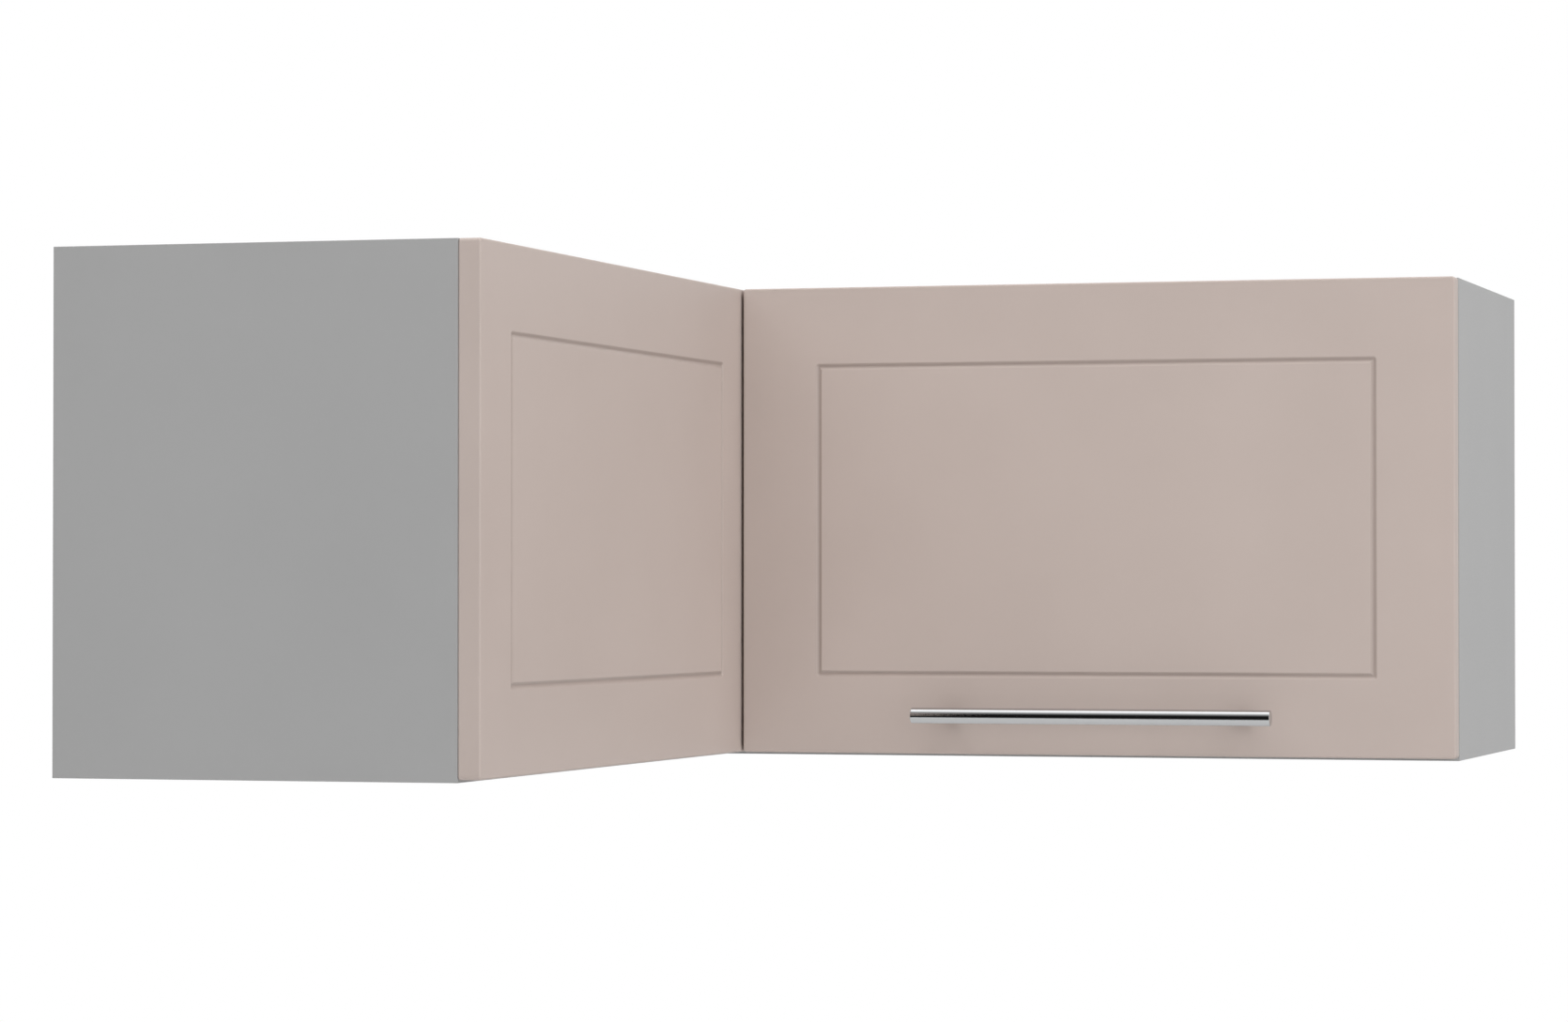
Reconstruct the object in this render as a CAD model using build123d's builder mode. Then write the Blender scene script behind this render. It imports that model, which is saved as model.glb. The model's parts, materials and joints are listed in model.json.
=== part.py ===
"""Corner wall cabinet: an L-shaped carcass with a fixed left front and a lift-up right door.

Millimetres, +Z up. The rear wall is at +Y, the left wall at -X, and the door faces -Y.
The origin is the middle of the bottom of the whole cabinet.
"""

import os
from math import atan2, degrees

from build123d import *

# ================================================================ driving dimensions
HEIGHT = 360.0
WIDTH = 862.0  # along the rear wall
LENGTH = 890.0  # along the left wall
DEPTH = 292.0  # of each wing, without the fronts
BOARD = 16.0
FRONT = 16.0
GAP = 2.0  # between the door and what is beside or behind it
BOTTOM_REVEAL = 2.0  # the fronts start this far above the underside
FIXED_FRONT_GAP = 4.0  # from the fixed front's far end to the right wing

BACK = 3.0  # hardboard
BACK_INSET = 16.0
BACK_SLOT = 3.4
BACK_SLOT_DEPTH = 8.0
BACK_ENGAGEMENT = 7.0

FRONT_EDGE_RADIUS = 3.0
FRONT_BACK_CHAMFER = 1.0
GROOVE_MARGIN = 61.0  # from the front's edge to the groove's middle
GROOVE_WIDTH = 5.5
GROOVE_FLOOR = 0.9
GROOVE_DEPTH = 2.5

STRIP_FRONT = 50.0  # corner strip beside the door opening
STRIP_SIDE = 60.0  # corner strip behind the fixed front
REAR_POST = 80.0

HANDLE_LENGTH = 276.0
HANDLE_RADIUS = 6.0
HANDLE_SPACING = 224.0
HANDLE_STAND_OFF = 30.0  # door face to the bar's axis
HANDLE_SHIFT = 5.0  # to the right of the door's middle
HANDLE_Z = 32.0
HANDLE_POST_RADIUS = 5.0

HINGE_INSET = 100.0  # from each end of the door
PIVOT_BEHIND_FACE = 7.0
PIVOT_BELOW_TOP = 6.5

STAY_BASE = (84.0, 26.0)  # hinge pivot to the stay's main pin, backwards and downwards
STAY_CRANK = (22.0, 66.0)  # hinge pivot to the door bracket's pin, and main pin to knee

CLEARANCE = 0.1  # round a fastener in its bore
RUNNING = 0.05  # radial clearance of a turning pin
SIDE_PLAY = 0.3  # between flat links that slide past each other

# ================================================================ places worked out from them
LEFT = -WIDTH / 2
RIGHT = WIDTH / 2
NEAR = -LENGTH / 2
REAR = LENGTH / 2
LEFT_FRONT_X = LEFT + DEPTH
RIGHT_FRONT_Y = REAR - DEPTH
INNER_TOP = HEIGHT - BOARD
INNER_HEIGHT = HEIGHT - 2 * BOARD
LEFT_INNER_Y = NEAR + BOARD
RIGHT_INNER_X = RIGHT - BOARD
BACK_FACE = BACK_INSET + BACK_SLOT  # from a wall to the front of its back's groove
BACK_PLAY = (BACK_SLOT - BACK) / 2

DOOR_LEFT = LEFT_FRONT_X + FRONT + GAP
DOOR_WIDTH = RIGHT - DOOR_LEFT
DOOR_MIDDLE = (DOOR_LEFT + RIGHT) / 2
DOOR_BACK_Y = RIGHT_FRONT_Y - GAP
DOOR_FACE_Y = DOOR_BACK_Y - FRONT
FRONT_HEIGHT = HEIGHT - BOTTOM_REVEAL
FRONT_MIDDLE_Z = (HEIGHT + BOTTOM_REVEAL) / 2
FIXED_FRONT_LENGTH = LENGTH - DEPTH - FIXED_FRONT_GAP
FIXED_FRONT_MIDDLE_Y = NEAR + FIXED_FRONT_LENGTH / 2
HANDLE_XS = (
    DOOR_MIDDLE + HANDLE_SHIFT - HANDLE_SPACING / 2,
    DOOR_MIDDLE + HANDLE_SHIFT + HANDLE_SPACING / 2,
)
BAR_Y = DOOR_FACE_Y - HANDLE_STAND_OFF
HINGE_XS = (DOOR_LEFT + HINGE_INSET, RIGHT - HINGE_INSET)
POST_FACE_X = LEFT + BACK_FACE + BOARD  # the rear post's face towards the room

PIVOT = (DOOR_FACE_Y + PIVOT_BEHIND_FACE, HEIGHT - PIVOT_BELOW_TOP)
STAY_MAIN = (PIVOT[0] + STAY_BASE[0], PIVOT[1] - STAY_BASE[1])
STAY_DOOR = (PIVOT[0] + STAY_CRANK[0], PIVOT[1] - STAY_CRANK[1])
STAY_KNEE = (STAY_MAIN[0] + STAY_CRANK[0], STAY_MAIN[1] - STAY_CRANK[1])


def in_door(behind_face, below_top):
    """A (Y, Z) point, given behind the door's outer face and below its top edge."""
    return (DOOR_FACE_Y + behind_face, HEIGHT - below_top)


def plane_at(point, normal):
    """A plane through a point, its Z along the normal."""
    return Plane(origin=point, z_dir=normal)


def save(part, name):
    """Label a finished piece and write it."""
    part.label = name
    export_step(part, f"parts/{name}.step")


# ================================================================ fasteners
SIDES = 8  # of a small fastener and of its bore
HIDDEN_SIDES = 6  # of a fastener inside the boards and of its bore
BUTTON_SIDES = 12  # of a cap or a bumper
SCREW_HEAD = 1.6
SHORT_SCREW = (3.3, 1.6, 13.0)  # head radius, shank radius, length below the head
LONG_SCREW = (3.8, 2.0, 26.0)

CAM_RADIUS = 7.5
CAM_DEPTH = 12.5
CAM_DISTANCE = 24.0  # from the board's end to the cam's middle
CAM_BOLT_THREAD = (2.5, 11.0)  # radius and length in the side
CAM_BOLT_HEAD = (3.2, 4.0)
CAM_BOLT_BORE = 3.8  # along the board and into the cam
CAM_CAP_RADIUS = 8.6
CAM_CAP = 1.0
DOWEL_RADIUS = 4.0
DOWEL_IN_SIDE = 11.0
DOWEL_IN_BOARD = 18.0
DOWEL_OFFSET = 32.0  # from each cam bolt
END_CAM_INSETS = (46.0, 214.0)  # from the wall, along the joined end

EURO_HEAD = (5.0, 4.0)  # radius and height, sunk in the board
EURO_THREAD_RADIUS = 3.0
EURO_LENGTH = 50.0
EURO_KEY_RADIUS = 2.3


def rod(*steps, sides=SIDES):
    """A straight-sided rod along Z, made of (radius, low, high) steps."""
    with BuildPart() as solid:
        for radius, low, high in steps:
            with BuildSketch(Plane.XY.offset(low)):
                RegularPolygon(radius, sides)
            extrude(amount=high - low)
    return solid.part


def screw(size):
    """A pan-head screw, its head standing on Z 0 and its shank below."""
    head_radius, shank_radius, length = size
    return rod((head_radius, 0, SCREW_HEAD), (shank_radius, -length, 0))


def screw_bore(size):
    """What the same screw's shank takes out of the pieces it goes through."""
    return rod((size[1] + CLEARANCE, -size[2] - CLEARANCE, CLEARANCE))


def group(piece, planes):
    """Copies of one fastener, one at each plane, as separate solids of one node."""
    with BuildPart() as pieces:
        with Locations(*planes):
            add(piece)
    return pieces.part


def pair(make, xs):
    """One piece at each X, as separate solids of one node."""
    with BuildPart() as pieces:
        for x in xs:
            add(make(x))
    return pieces.part


SHORT_BORE = screw_bore(SHORT_SCREW)
LONG_BORE = screw_bore(LONG_SCREW)

# ---------------------------------------------------------------- where the fasteners go
BOARD_MIDDLES = {"bottom": BOARD / 2, "top": HEIGHT - BOARD / 2}
LEFT_SEAM = (0, 1, 0)  # from the left end panel into the boards
RIGHT_SEAM = (-1, 0, 0)  # from the right side into the boards


def seam_planes(side, offset=0.0, levels=("bottom", "top")):
    """Planes on one seam that look into the boards, at each cam's inset plus an offset."""
    planes = []
    for level in levels:
        z = BOARD_MIDDLES[level]
        for inset in END_CAM_INSETS:
            if side == LEFT_SEAM:
                point = (LEFT + inset + offset, LEFT_INNER_Y, z)
            else:
                point = (RIGHT_INNER_X, REAR - inset - offset, z)
            planes.append(plane_at(point, side))
    return planes


def cam_planes(levels=("bottom", "top")):
    """Each cam's place on its board's inner face: Z into the cabinet, X towards the seam."""
    planes = []
    for level in levels:
        face_z, up = (BOARD, 1) if level == "bottom" else (INNER_TOP, -1)
        for side in (LEFT_SEAM, RIGHT_SEAM):
            for seam in seam_planes(side, levels=(level,)):
                centre = seam.origin + seam.z_dir * CAM_DISTANCE
                origin = (centre.X, centre.Y, face_z)
                planes.append(Plane(origin=origin, x_dir=-seam.z_dir, z_dir=(0, 0, up)))
    return planes


EURO_PLACES = {
    "corner_strip_front": (LEFT_FRONT_X + STRIP_FRONT / 2, RIGHT_FRONT_Y + BOARD / 2),
    "corner_strip_side": (LEFT_FRONT_X - BOARD / 2, RIGHT_FRONT_Y + BOARD - STRIP_SIDE / 2),
    "rear_corner_post": (POST_FACE_X - BOARD / 2, REAR - BACK_FACE - REAR_POST / 2),
}
EURO_TOPS = [plane_at((x, y, HEIGHT), (0, 0, 1)) for x, y in EURO_PLACES.values()]
EURO_BOTTOMS = [plane_at((x, y, 0), (0, 0, -1)) for x, y in EURO_PLACES.values()]
EURO_BORE = rod(
    (EURO_HEAD[0] + CLEARANCE, -EURO_HEAD[1], 0),
    (EURO_THREAD_RADIUS + CLEARANCE, -EURO_LENGTH - CLEARANCE, 0),
)

FRONT_ANGLE_LEG = 20.0
FRONT_ANGLE_SHEET = 2.0
FRONT_ANGLE_WIDTH = 16.0
FRONT_ANGLE_SCREW = 12.0  # from the corner to each screw
FRONT_ANGLES = {
    "end_low": Plane((LEFT_FRONT_X, LEFT_INNER_Y, 110), x_dir=(-1, 0, 0), z_dir=(0, 0, -1)),
    "end_high": Plane((LEFT_FRONT_X, LEFT_INNER_Y, 250), x_dir=(-1, 0, 0), z_dir=(0, 0, -1)),
    "top": Plane(
        (LEFT_FRONT_X, FIXED_FRONT_MIDDLE_Y, INNER_TOP), x_dir=(-1, 0, 0), z_dir=(0, -1, 0)
    ),
    "bottom": Plane(
        (LEFT_FRONT_X, FIXED_FRONT_MIDDLE_Y, BOARD), x_dir=(-1, 0, 0), z_dir=(0, 1, 0)
    ),
}


def carcass_angle_screw(plane):
    """The screw of a front angle that goes into the carcass."""
    point = plane.from_local_coords((FRONT_ANGLE_SCREW, FRONT_ANGLE_SHEET, 0))
    return plane_at(point, plane.y_dir)


def front_angle_screw(plane):
    """The screw of a front angle that goes into the fixed front."""
    point = plane.from_local_coords((FRONT_ANGLE_SHEET, FRONT_ANGLE_SCREW, 0))
    return plane_at(point, plane.x_dir)


POST_SCREW_ZS = (80.0, 180.0, 280.0)
POST_SCREW_Y = RIGHT_FRONT_Y + BOARD - STRIP_SIDE + 22.0
POST_SCREWS = [plane_at((LEFT_FRONT_X - BOARD, POST_SCREW_Y, z), (-1, 0, 0)) for z in POST_SCREW_ZS]

CUP_RADIUS = 17.45
CUP_BELOW_TOP = 20.5
CUP_WALL = 0.85
CUP_DEPTH = 12.0
FLANGE = 1.2
FLANGE_LENGTH = 62.0
FLANGE_HEIGHT = 14.0
FLANGE_CORNER = 4.0
FLANGE_SCREW_SPACING = 48.0
FLANGE_SCREW_BELOW_TOP = 30.0
PLATE_SHEET = 2.3
PLATE_SCREW_BEHIND_FACE = 55.0
PLATE_SCREW_SPACING = 34.0
HINGE_CUP_SCREWS = [
    plane_at((x + side * FLANGE_SCREW_SPACING / 2, DOOR_BACK_Y + FLANGE, z), (0, 1, 0))
    for x in HINGE_XS
    for side in (-1, 1)
    for z in (HEIGHT - FLANGE_SCREW_BELOW_TOP,)
]
HINGE_PLATE_SCREWS = [
    plane_at((x + side * PLATE_SCREW_SPACING / 2, y, INNER_TOP - PLATE_SHEET), (0, 0, -1))
    for x in HINGE_XS
    for side in (-1, 1)
    for y in (DOOR_FACE_Y + PLATE_SCREW_BEHIND_FACE,)
]

STAY_HOUSING = 14.0  # thickness off the side panel
STAY_LINK = 3.0  # thickness of the lever, the arm and the bracket's lug
HOUSING_X = RIGHT_INNER_X - STAY_HOUSING
LEVER_X = HOUSING_X - SIDE_PLAY - STAY_LINK  # the low X face of each layer
ARM_X = LEVER_X - SIDE_PLAY - STAY_LINK
LUG_X = ARM_X - SIDE_PLAY - STAY_LINK
HOUSING_SCREW_PLACES = (in_door(122, 33), in_door(150, 33), in_door(180, 34))
STAY_HOUSING_SCREWS = [plane_at((HOUSING_X, y, z), (-1, 0, 0)) for y, z in HOUSING_SCREW_PLACES]
BRACKET_SHEET = 2.2
BRACKET_WIDTH = 20.0
BRACKET_HEIGHT = 46.0
BRACKET_SCREW_SPREAD = 15.0
BRACKET_SCREWS = [
    plane_at((LUG_X - 8.0, DOOR_BACK_Y + BRACKET_SHEET, STAY_DOOR[1] + dz), (0, 1, 0))
    for dz in (-BRACKET_SCREW_SPREAD, BRACKET_SCREW_SPREAD)
]

HANGER_DEPTH = 44.0
HANGER_HEIGHT = 58.0
HANGER_THICKNESS = 15.0
HANGER_Z = 284.0
HANGER_Y = REAR - BACK_FACE - SIDE_PLAY - HANGER_DEPTH  # room side of the two rear ones
HANGER_X = LEFT + BACK_FACE + SIDE_PLAY + HANGER_DEPTH  # room side of the left one
HANGER_PEG_RADIUS = 5.0
HANGER_PEG = 10.0
HANGER_PEGS = ((12.0, 10.0), (12.0, 32.0))
# the plane lies on the panel, its Z off it; the sign is +1 where X runs towards the wall
HANGERS = {
    "right": (Plane((RIGHT_INNER_X, HANGER_Y, HANGER_Z), x_dir=(0, -1, 0), z_dir=(-1, 0, 0)), -1),
    "corner": (Plane((POST_FACE_X, HANGER_Y, HANGER_Z), x_dir=(0, 1, 0), z_dir=(1, 0, 0)), 1),
    "left": (Plane((HANGER_X, LEFT_INNER_Y, HANGER_Z), x_dir=(-1, 0, 0), z_dir=(0, 1, 0)), 1),
}


def peg_bores(which):
    """What a hanger's two pegs take out of the panel that carries it."""
    plane, sign = HANGERS[which]
    with BuildPart() as bores:
        with BuildSketch(plane):
            with Locations(*[(sign * x, y) for x, y in HANGER_PEGS]):
                RegularPolygon(HANGER_PEG_RADIUS + CLEARANCE, SIDES)
        extrude(amount=-HANGER_PEG - CLEARANCE)
    return bores.part


# ================================================================ carcass boards
def corner_board(level):
    """The L-shaped bottom or top board: grooves and cam bores open inwards."""
    bottom = level == "bottom"
    cut = -1 if bottom else 1  # from the inner face into the board
    inner = Plane.XY.offset(BOARD if bottom else INNER_TOP)
    outline = [
        (LEFT, LEFT_INNER_Y),
        (LEFT_FRONT_X, LEFT_INNER_Y),
        (LEFT_FRONT_X, RIGHT_FRONT_Y),
        (RIGHT_INNER_X, RIGHT_FRONT_Y),
        (RIGHT_INNER_X, REAR),
        (LEFT, REAR),
    ]
    cam_bore = rod((CAM_RADIUS + CLEARANCE, -CAM_DEPTH - CLEARANCE, 0), sides=HIDDEN_SIDES)
    bolt_bore = rod((CAM_BOLT_BORE, 0, CAM_DISTANCE), sides=HIDDEN_SIDES)
    dowel_depth = DOWEL_IN_BOARD + CLEARANCE
    dowel_bore = rod((DOWEL_RADIUS + CLEARANCE, 0, dowel_depth), sides=HIDDEN_SIDES)
    screws = [carcass_angle_screw(FRONT_ANGLES[level])] + ([] if bottom else HINGE_PLATE_SCREWS)
    with BuildPart() as board:
        with BuildSketch(inner):
            with BuildLine():
                Polyline(*outline, close=True)
            make_face()
        extrude(amount=cut * BOARD)
        with BuildSketch(inner):
            with Locations((RIGHT_INNER_X, REAR - BACK_INSET)):
                length = RIGHT_INNER_X - LEFT - BACK_INSET
                Rectangle(length, BACK_SLOT, align=(Align.MAX, Align.MAX))
            with Locations((LEFT + BACK_INSET, LEFT_INNER_Y)):
                length = REAR - BACK_INSET - LEFT_INNER_Y
                Rectangle(BACK_SLOT, length, align=(Align.MIN, Align.MIN))
        extrude(amount=cut * BACK_SLOT_DEPTH, mode=Mode.SUBTRACT)
        with Locations(*cam_planes((level,))):
            add(cam_bore, mode=Mode.SUBTRACT)
        for side in (LEFT_SEAM, RIGHT_SEAM):
            with Locations(*seam_planes(side, levels=(level,))):
                add(bolt_bore, mode=Mode.SUBTRACT)
            with Locations(*seam_planes(side, DOWEL_OFFSET, (level,))):
                add(dowel_bore, mode=Mode.SUBTRACT)
        with Locations(*(EURO_BOTTOMS if bottom else EURO_TOPS)):
            add(EURO_BORE, mode=Mode.SUBTRACT)
        with Locations(*screws):
            add(SHORT_BORE, mode=Mode.SUBTRACT)
    return board.part


def cut_seam_bores(panel, side):
    """A side panel with its blind bores for cam bolts and dowels."""
    radius, length = CAM_BOLT_THREAD
    bolt_bore = rod((radius + CLEARANCE, -length - CLEARANCE, 0), sides=HIDDEN_SIDES)
    dowel_depth = DOWEL_IN_SIDE + CLEARANCE
    dowel_bore = rod((DOWEL_RADIUS + CLEARANCE, -dowel_depth, 0), sides=HIDDEN_SIDES)
    with BuildPart() as bored:
        add(panel)
        with Locations(*seam_planes(side)):
            add(bolt_bore, mode=Mode.SUBTRACT)
        with Locations(*seam_planes(side, DOWEL_OFFSET)):
            add(dowel_bore, mode=Mode.SUBTRACT)
    return bored.part


def left_end_panel():
    """The panel that closes the left wing and shows to the front."""
    with BuildPart() as panel:
        with BuildSketch():
            with Locations((LEFT, NEAR)):
                Rectangle(DEPTH, BOARD, align=(Align.MIN, Align.MIN))
        extrude(amount=HEIGHT)
        with BuildSketch():
            with Locations((LEFT + BACK_INSET, LEFT_INNER_Y)):
                Rectangle(BACK_SLOT, BACK_SLOT_DEPTH, align=(Align.MIN, Align.MAX))
        extrude(amount=HEIGHT, mode=Mode.SUBTRACT)
        add(peg_bores("left"), mode=Mode.SUBTRACT)
        with Locations(*[carcass_angle_screw(FRONT_ANGLES[end]) for end in ("end_low", "end_high")]):
            add(SHORT_BORE, mode=Mode.SUBTRACT)
    return cut_seam_bores(panel.part, LEFT_SEAM)


def right_side_panel():
    """The panel at the right end, which carries the stay and a hanger."""
    with BuildPart() as panel:
        with BuildSketch():
            with Locations((RIGHT, REAR)):
                Rectangle(BOARD, DEPTH, align=(Align.MAX, Align.MAX))
        extrude(amount=HEIGHT)
        with BuildSketch():
            with Locations((RIGHT_INNER_X, REAR - BACK_INSET)):
                Rectangle(BACK_SLOT_DEPTH, BACK_SLOT, align=(Align.MIN, Align.MAX))
        extrude(amount=HEIGHT, mode=Mode.SUBTRACT)
        add(peg_bores("right"), mode=Mode.SUBTRACT)
        with Locations(*STAY_HOUSING_SCREWS):
            add(LONG_BORE, mode=Mode.SUBTRACT)
    return cut_seam_bores(panel.part, RIGHT_SEAM)


def strip(corner, size, align):
    """An upright strip between the boards, with a screw bore in each end."""
    with BuildPart() as upright:
        with BuildSketch(Plane.XY.offset(BOARD)):
            with Locations(corner):
                Rectangle(*size, align=align)
        extrude(amount=INNER_HEIGHT)
        with Locations(*EURO_BOTTOMS, *EURO_TOPS):
            add(EURO_BORE, mode=Mode.SUBTRACT)
    return upright.part


def corner_strip_front():
    """The strip that stops the door's left edge."""
    return strip((LEFT_FRONT_X, RIGHT_FRONT_Y), (STRIP_FRONT, BOARD), (Align.MIN, Align.MIN))


def corner_strip_side():
    """The strip behind the fixed front's far end, with that front's screw bores."""
    corner = (LEFT_FRONT_X, RIGHT_FRONT_Y + BOARD)
    bare = strip(corner, (BOARD, STRIP_SIDE), (Align.MAX, Align.MAX))
    with BuildPart() as upright:
        add(bare)
        with Locations(*POST_SCREWS):
            add(LONG_BORE, mode=Mode.SUBTRACT)
    return upright.part


def rear_corner_post():
    """The upright in the far corner, which carries a hanger."""
    corner = (POST_FACE_X, REAR - BACK_FACE)
    bare = strip(corner, (BOARD, REAR_POST), (Align.MAX, Align.MAX))
    with BuildPart() as upright:
        add(bare)
        add(peg_bores("corner"), mode=Mode.SUBTRACT)
    return upright.part


WINDOW_WIDTH = 10.0  # through a back, for a hanger's hook
WINDOW_EDGE = 3.0  # from the panel that carries the hanger
WINDOW_BOTTOM = HANGER_Z + 26.0
WINDOW_HEIGHT = 32.0
BACK_BOTTOM = BOARD - BACK_ENGAGEMENT
BACK_HEIGHT = INNER_HEIGHT + 2 * BACK_ENGAGEMENT


def rear_back_panel():
    """The hardboard back along the rear wall, with windows for two hooks."""
    plane = Plane.XZ.offset(-(REAR - BACK_INSET - BACK_PLAY))
    left = LEFT + BACK_INSET + BACK_PLAY
    with BuildPart() as back:
        with BuildSketch(plane):
            with Locations((left, BACK_BOTTOM)):
                width = RIGHT_INNER_X + BACK_ENGAGEMENT - left
                Rectangle(width, BACK_HEIGHT, align=(Align.MIN, Align.MIN))
            with Locations((RIGHT_INNER_X - WINDOW_EDGE, WINDOW_BOTTOM)):
                Rectangle(
                    WINDOW_WIDTH, WINDOW_HEIGHT, align=(Align.MAX, Align.MIN), mode=Mode.SUBTRACT
                )
            with Locations((POST_FACE_X + WINDOW_EDGE, WINDOW_BOTTOM)):
                Rectangle(
                    WINDOW_WIDTH, WINDOW_HEIGHT, align=(Align.MIN, Align.MIN), mode=Mode.SUBTRACT
                )
        extrude(amount=BACK)
    return back.part


def left_back_panel():
    """The hardboard back along the left wall, with a window for one hook."""
    near = LEFT_INNER_Y - BACK_ENGAGEMENT
    with BuildPart() as back:
        with BuildSketch(Plane.YZ.offset(LEFT + BACK_INSET + BACK_PLAY)):
            with Locations((near, BACK_BOTTOM)):
                length = REAR - BACK_FACE - near
                Rectangle(length, BACK_HEIGHT, align=(Align.MIN, Align.MIN))
            with Locations((LEFT_INNER_Y + WINDOW_EDGE, WINDOW_BOTTOM)):
                Rectangle(
                    WINDOW_WIDTH, WINDOW_HEIGHT, align=(Align.MIN, Align.MIN), mode=Mode.SUBTRACT
                )
        extrude(amount=BACK)
    return back.part


# ================================================================ fronts
def front_panel(plane, length):
    """A wrapped front on a plane at its back: rounded edges and a milled frame groove."""
    across = Axis(plane.origin, plane.z_dir)
    groove_length = length - 2 * GROOVE_MARGIN
    groove_height = FRONT_HEIGHT - 2 * GROOVE_MARGIN
    half = GROOVE_WIDTH / 2
    lean = degrees(atan2(half - GROOVE_FLOOR / 2, GROOVE_DEPTH))
    with BuildPart() as panel:
        with BuildSketch(plane):
            Rectangle(length, FRONT_HEIGHT)
        extrude(amount=FRONT)
        fillet(panel.faces().sort_by(across)[-1].edges(), FRONT_EDGE_RADIUS)
        chamfer(panel.faces().sort_by(across)[0].edges(), FRONT_BACK_CHAMFER)
        with BuildSketch(plane.offset(FRONT)):
            RectangleRounded(groove_length + GROOVE_WIDTH, groove_height + GROOVE_WIDTH, half)
            Rectangle(
                groove_length - GROOVE_WIDTH, groove_height - GROOVE_WIDTH, mode=Mode.SUBTRACT
            )
        extrude(amount=-GROOVE_DEPTH, taper=lean, mode=Mode.SUBTRACT)
    return panel.part


def left_front_panel():
    """The fixed front of the left wing."""
    plane = Plane(
        (LEFT_FRONT_X, FIXED_FRONT_MIDDLE_Y, FRONT_MIDDLE_Z), x_dir=(0, 1, 0), z_dir=(1, 0, 0)
    )
    bare = front_panel(plane, FIXED_FRONT_LENGTH)
    with BuildPart() as panel:
        add(bare)
        with Locations(*POST_SCREWS):
            add(LONG_BORE, mode=Mode.SUBTRACT)
        with Locations(*[front_angle_screw(angle) for angle in FRONT_ANGLES.values()]):
            add(SHORT_BORE, mode=Mode.SUBTRACT)
    return panel.part


HANDLE_SCREW_RADIUS = 2.0
HANDLE_SCREW_HEAD = 3.8
HANDLE_SCREW_GRIP = 5.0  # in the bar
HANDLE_CHAMFER = 0.6
HANDLE_BORE_RADIUS = 2.2


def door_panel():
    """The lift-up door, bored for its hinge cups, handle and stay bracket."""
    plane = Plane((DOOR_MIDDLE, DOOR_BACK_Y, FRONT_MIDDLE_Z), x_dir=(1, 0, 0), z_dir=(0, -1, 0))
    bare = front_panel(plane, DOOR_WIDTH)
    door_back = Plane.XZ.offset(-DOOR_BACK_Y)
    with BuildPart() as panel:
        add(bare)
        with BuildSketch(door_back):
            with Locations(*[(x, HEIGHT - CUP_BELOW_TOP) for x in HINGE_XS]):
                Circle(CUP_RADIUS + CLEARANCE)
        extrude(amount=CUP_DEPTH + CLEARANCE, mode=Mode.SUBTRACT)
        with BuildSketch(door_back):
            with Locations(*[(x, HANDLE_Z) for x in HANDLE_XS]):
                RegularPolygon(HANDLE_BORE_RADIUS, SIDES)
        extrude(amount=FRONT, mode=Mode.SUBTRACT)
        with Locations(*HINGE_CUP_SCREWS, *BRACKET_SCREWS):
            add(SHORT_BORE, mode=Mode.SUBTRACT)
    return panel.part


# ================================================================ handle
def handle_bar():
    """The round bar, with a blind bore for each screw."""
    with BuildPart() as bar:
        with BuildSketch(Plane.YZ.offset(HANDLE_XS[0] - (HANDLE_LENGTH - HANDLE_SPACING) / 2)):
            with Locations((BAR_Y, HANDLE_Z)):
                Circle(HANDLE_RADIUS)
        extrude(amount=HANDLE_LENGTH)
        chamfer(bar.edges().filter_by(GeomType.CIRCLE), HANDLE_CHAMFER)
        with BuildSketch(Plane.XZ.offset(-BAR_Y - HANDLE_RADIUS)):
            with Locations(*[(x, HANDLE_Z) for x in HANDLE_XS]):
                RegularPolygon(HANDLE_SCREW_RADIUS + CLEARANCE, SIDES)
        extrude(amount=HANDLE_SCREW_GRIP + CLEARANCE, mode=Mode.SUBTRACT)
    return bar.part


def handle_post(x):
    """A sleeve between the door and the bar, with a saddle under the bar."""
    with BuildPart() as post:
        with BuildSketch(Plane.XZ.offset(-DOOR_FACE_Y)):
            with Locations((x, HANDLE_Z)):
                Circle(HANDLE_POST_RADIUS)
        extrude(amount=HANDLE_STAND_OFF)
        with BuildSketch(Plane.YZ.offset(x)):
            with Locations((BAR_Y, HANDLE_Z)):
                Circle(HANDLE_RADIUS)
        extrude(amount=2 * HANDLE_POST_RADIUS, both=True, mode=Mode.SUBTRACT)
        with BuildSketch(Plane.XZ.offset(-DOOR_FACE_Y)):
            with Locations((x, HANDLE_Z)):
                RegularPolygon(HANDLE_BORE_RADIUS, SIDES)
        extrude(amount=HANDLE_STAND_OFF, mode=Mode.SUBTRACT)
    return post.part


def handle_screws():
    """The two screws that reach from the door's back into the bar."""
    reach = FRONT + HANDLE_STAND_OFF - HANDLE_RADIUS + HANDLE_SCREW_GRIP
    screw_size = (HANDLE_SCREW_HEAD, HANDLE_SCREW_RADIUS, reach)
    planes = [plane_at((x, DOOR_BACK_Y, HANDLE_Z), (0, 1, 0)) for x in HANDLE_XS]
    return group(screw(screw_size), planes)


BUMPER_RADIUS = 3.5
BUMPER = 1.6
BUMPER_PLACES = [(DOOR_LEFT + 14.0, 11.0), (RIGHT - BOARD / 2, 11.0)]


def door_bumpers():
    """The soft buttons on the door's lower corners."""
    planes = [plane_at((x, DOOR_BACK_Y, z), (0, 1, 0)) for x, z in BUMPER_PLACES]
    return group(rod((BUMPER_RADIUS, 0, BUMPER), sides=BUTTON_SIDES), planes)


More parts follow.
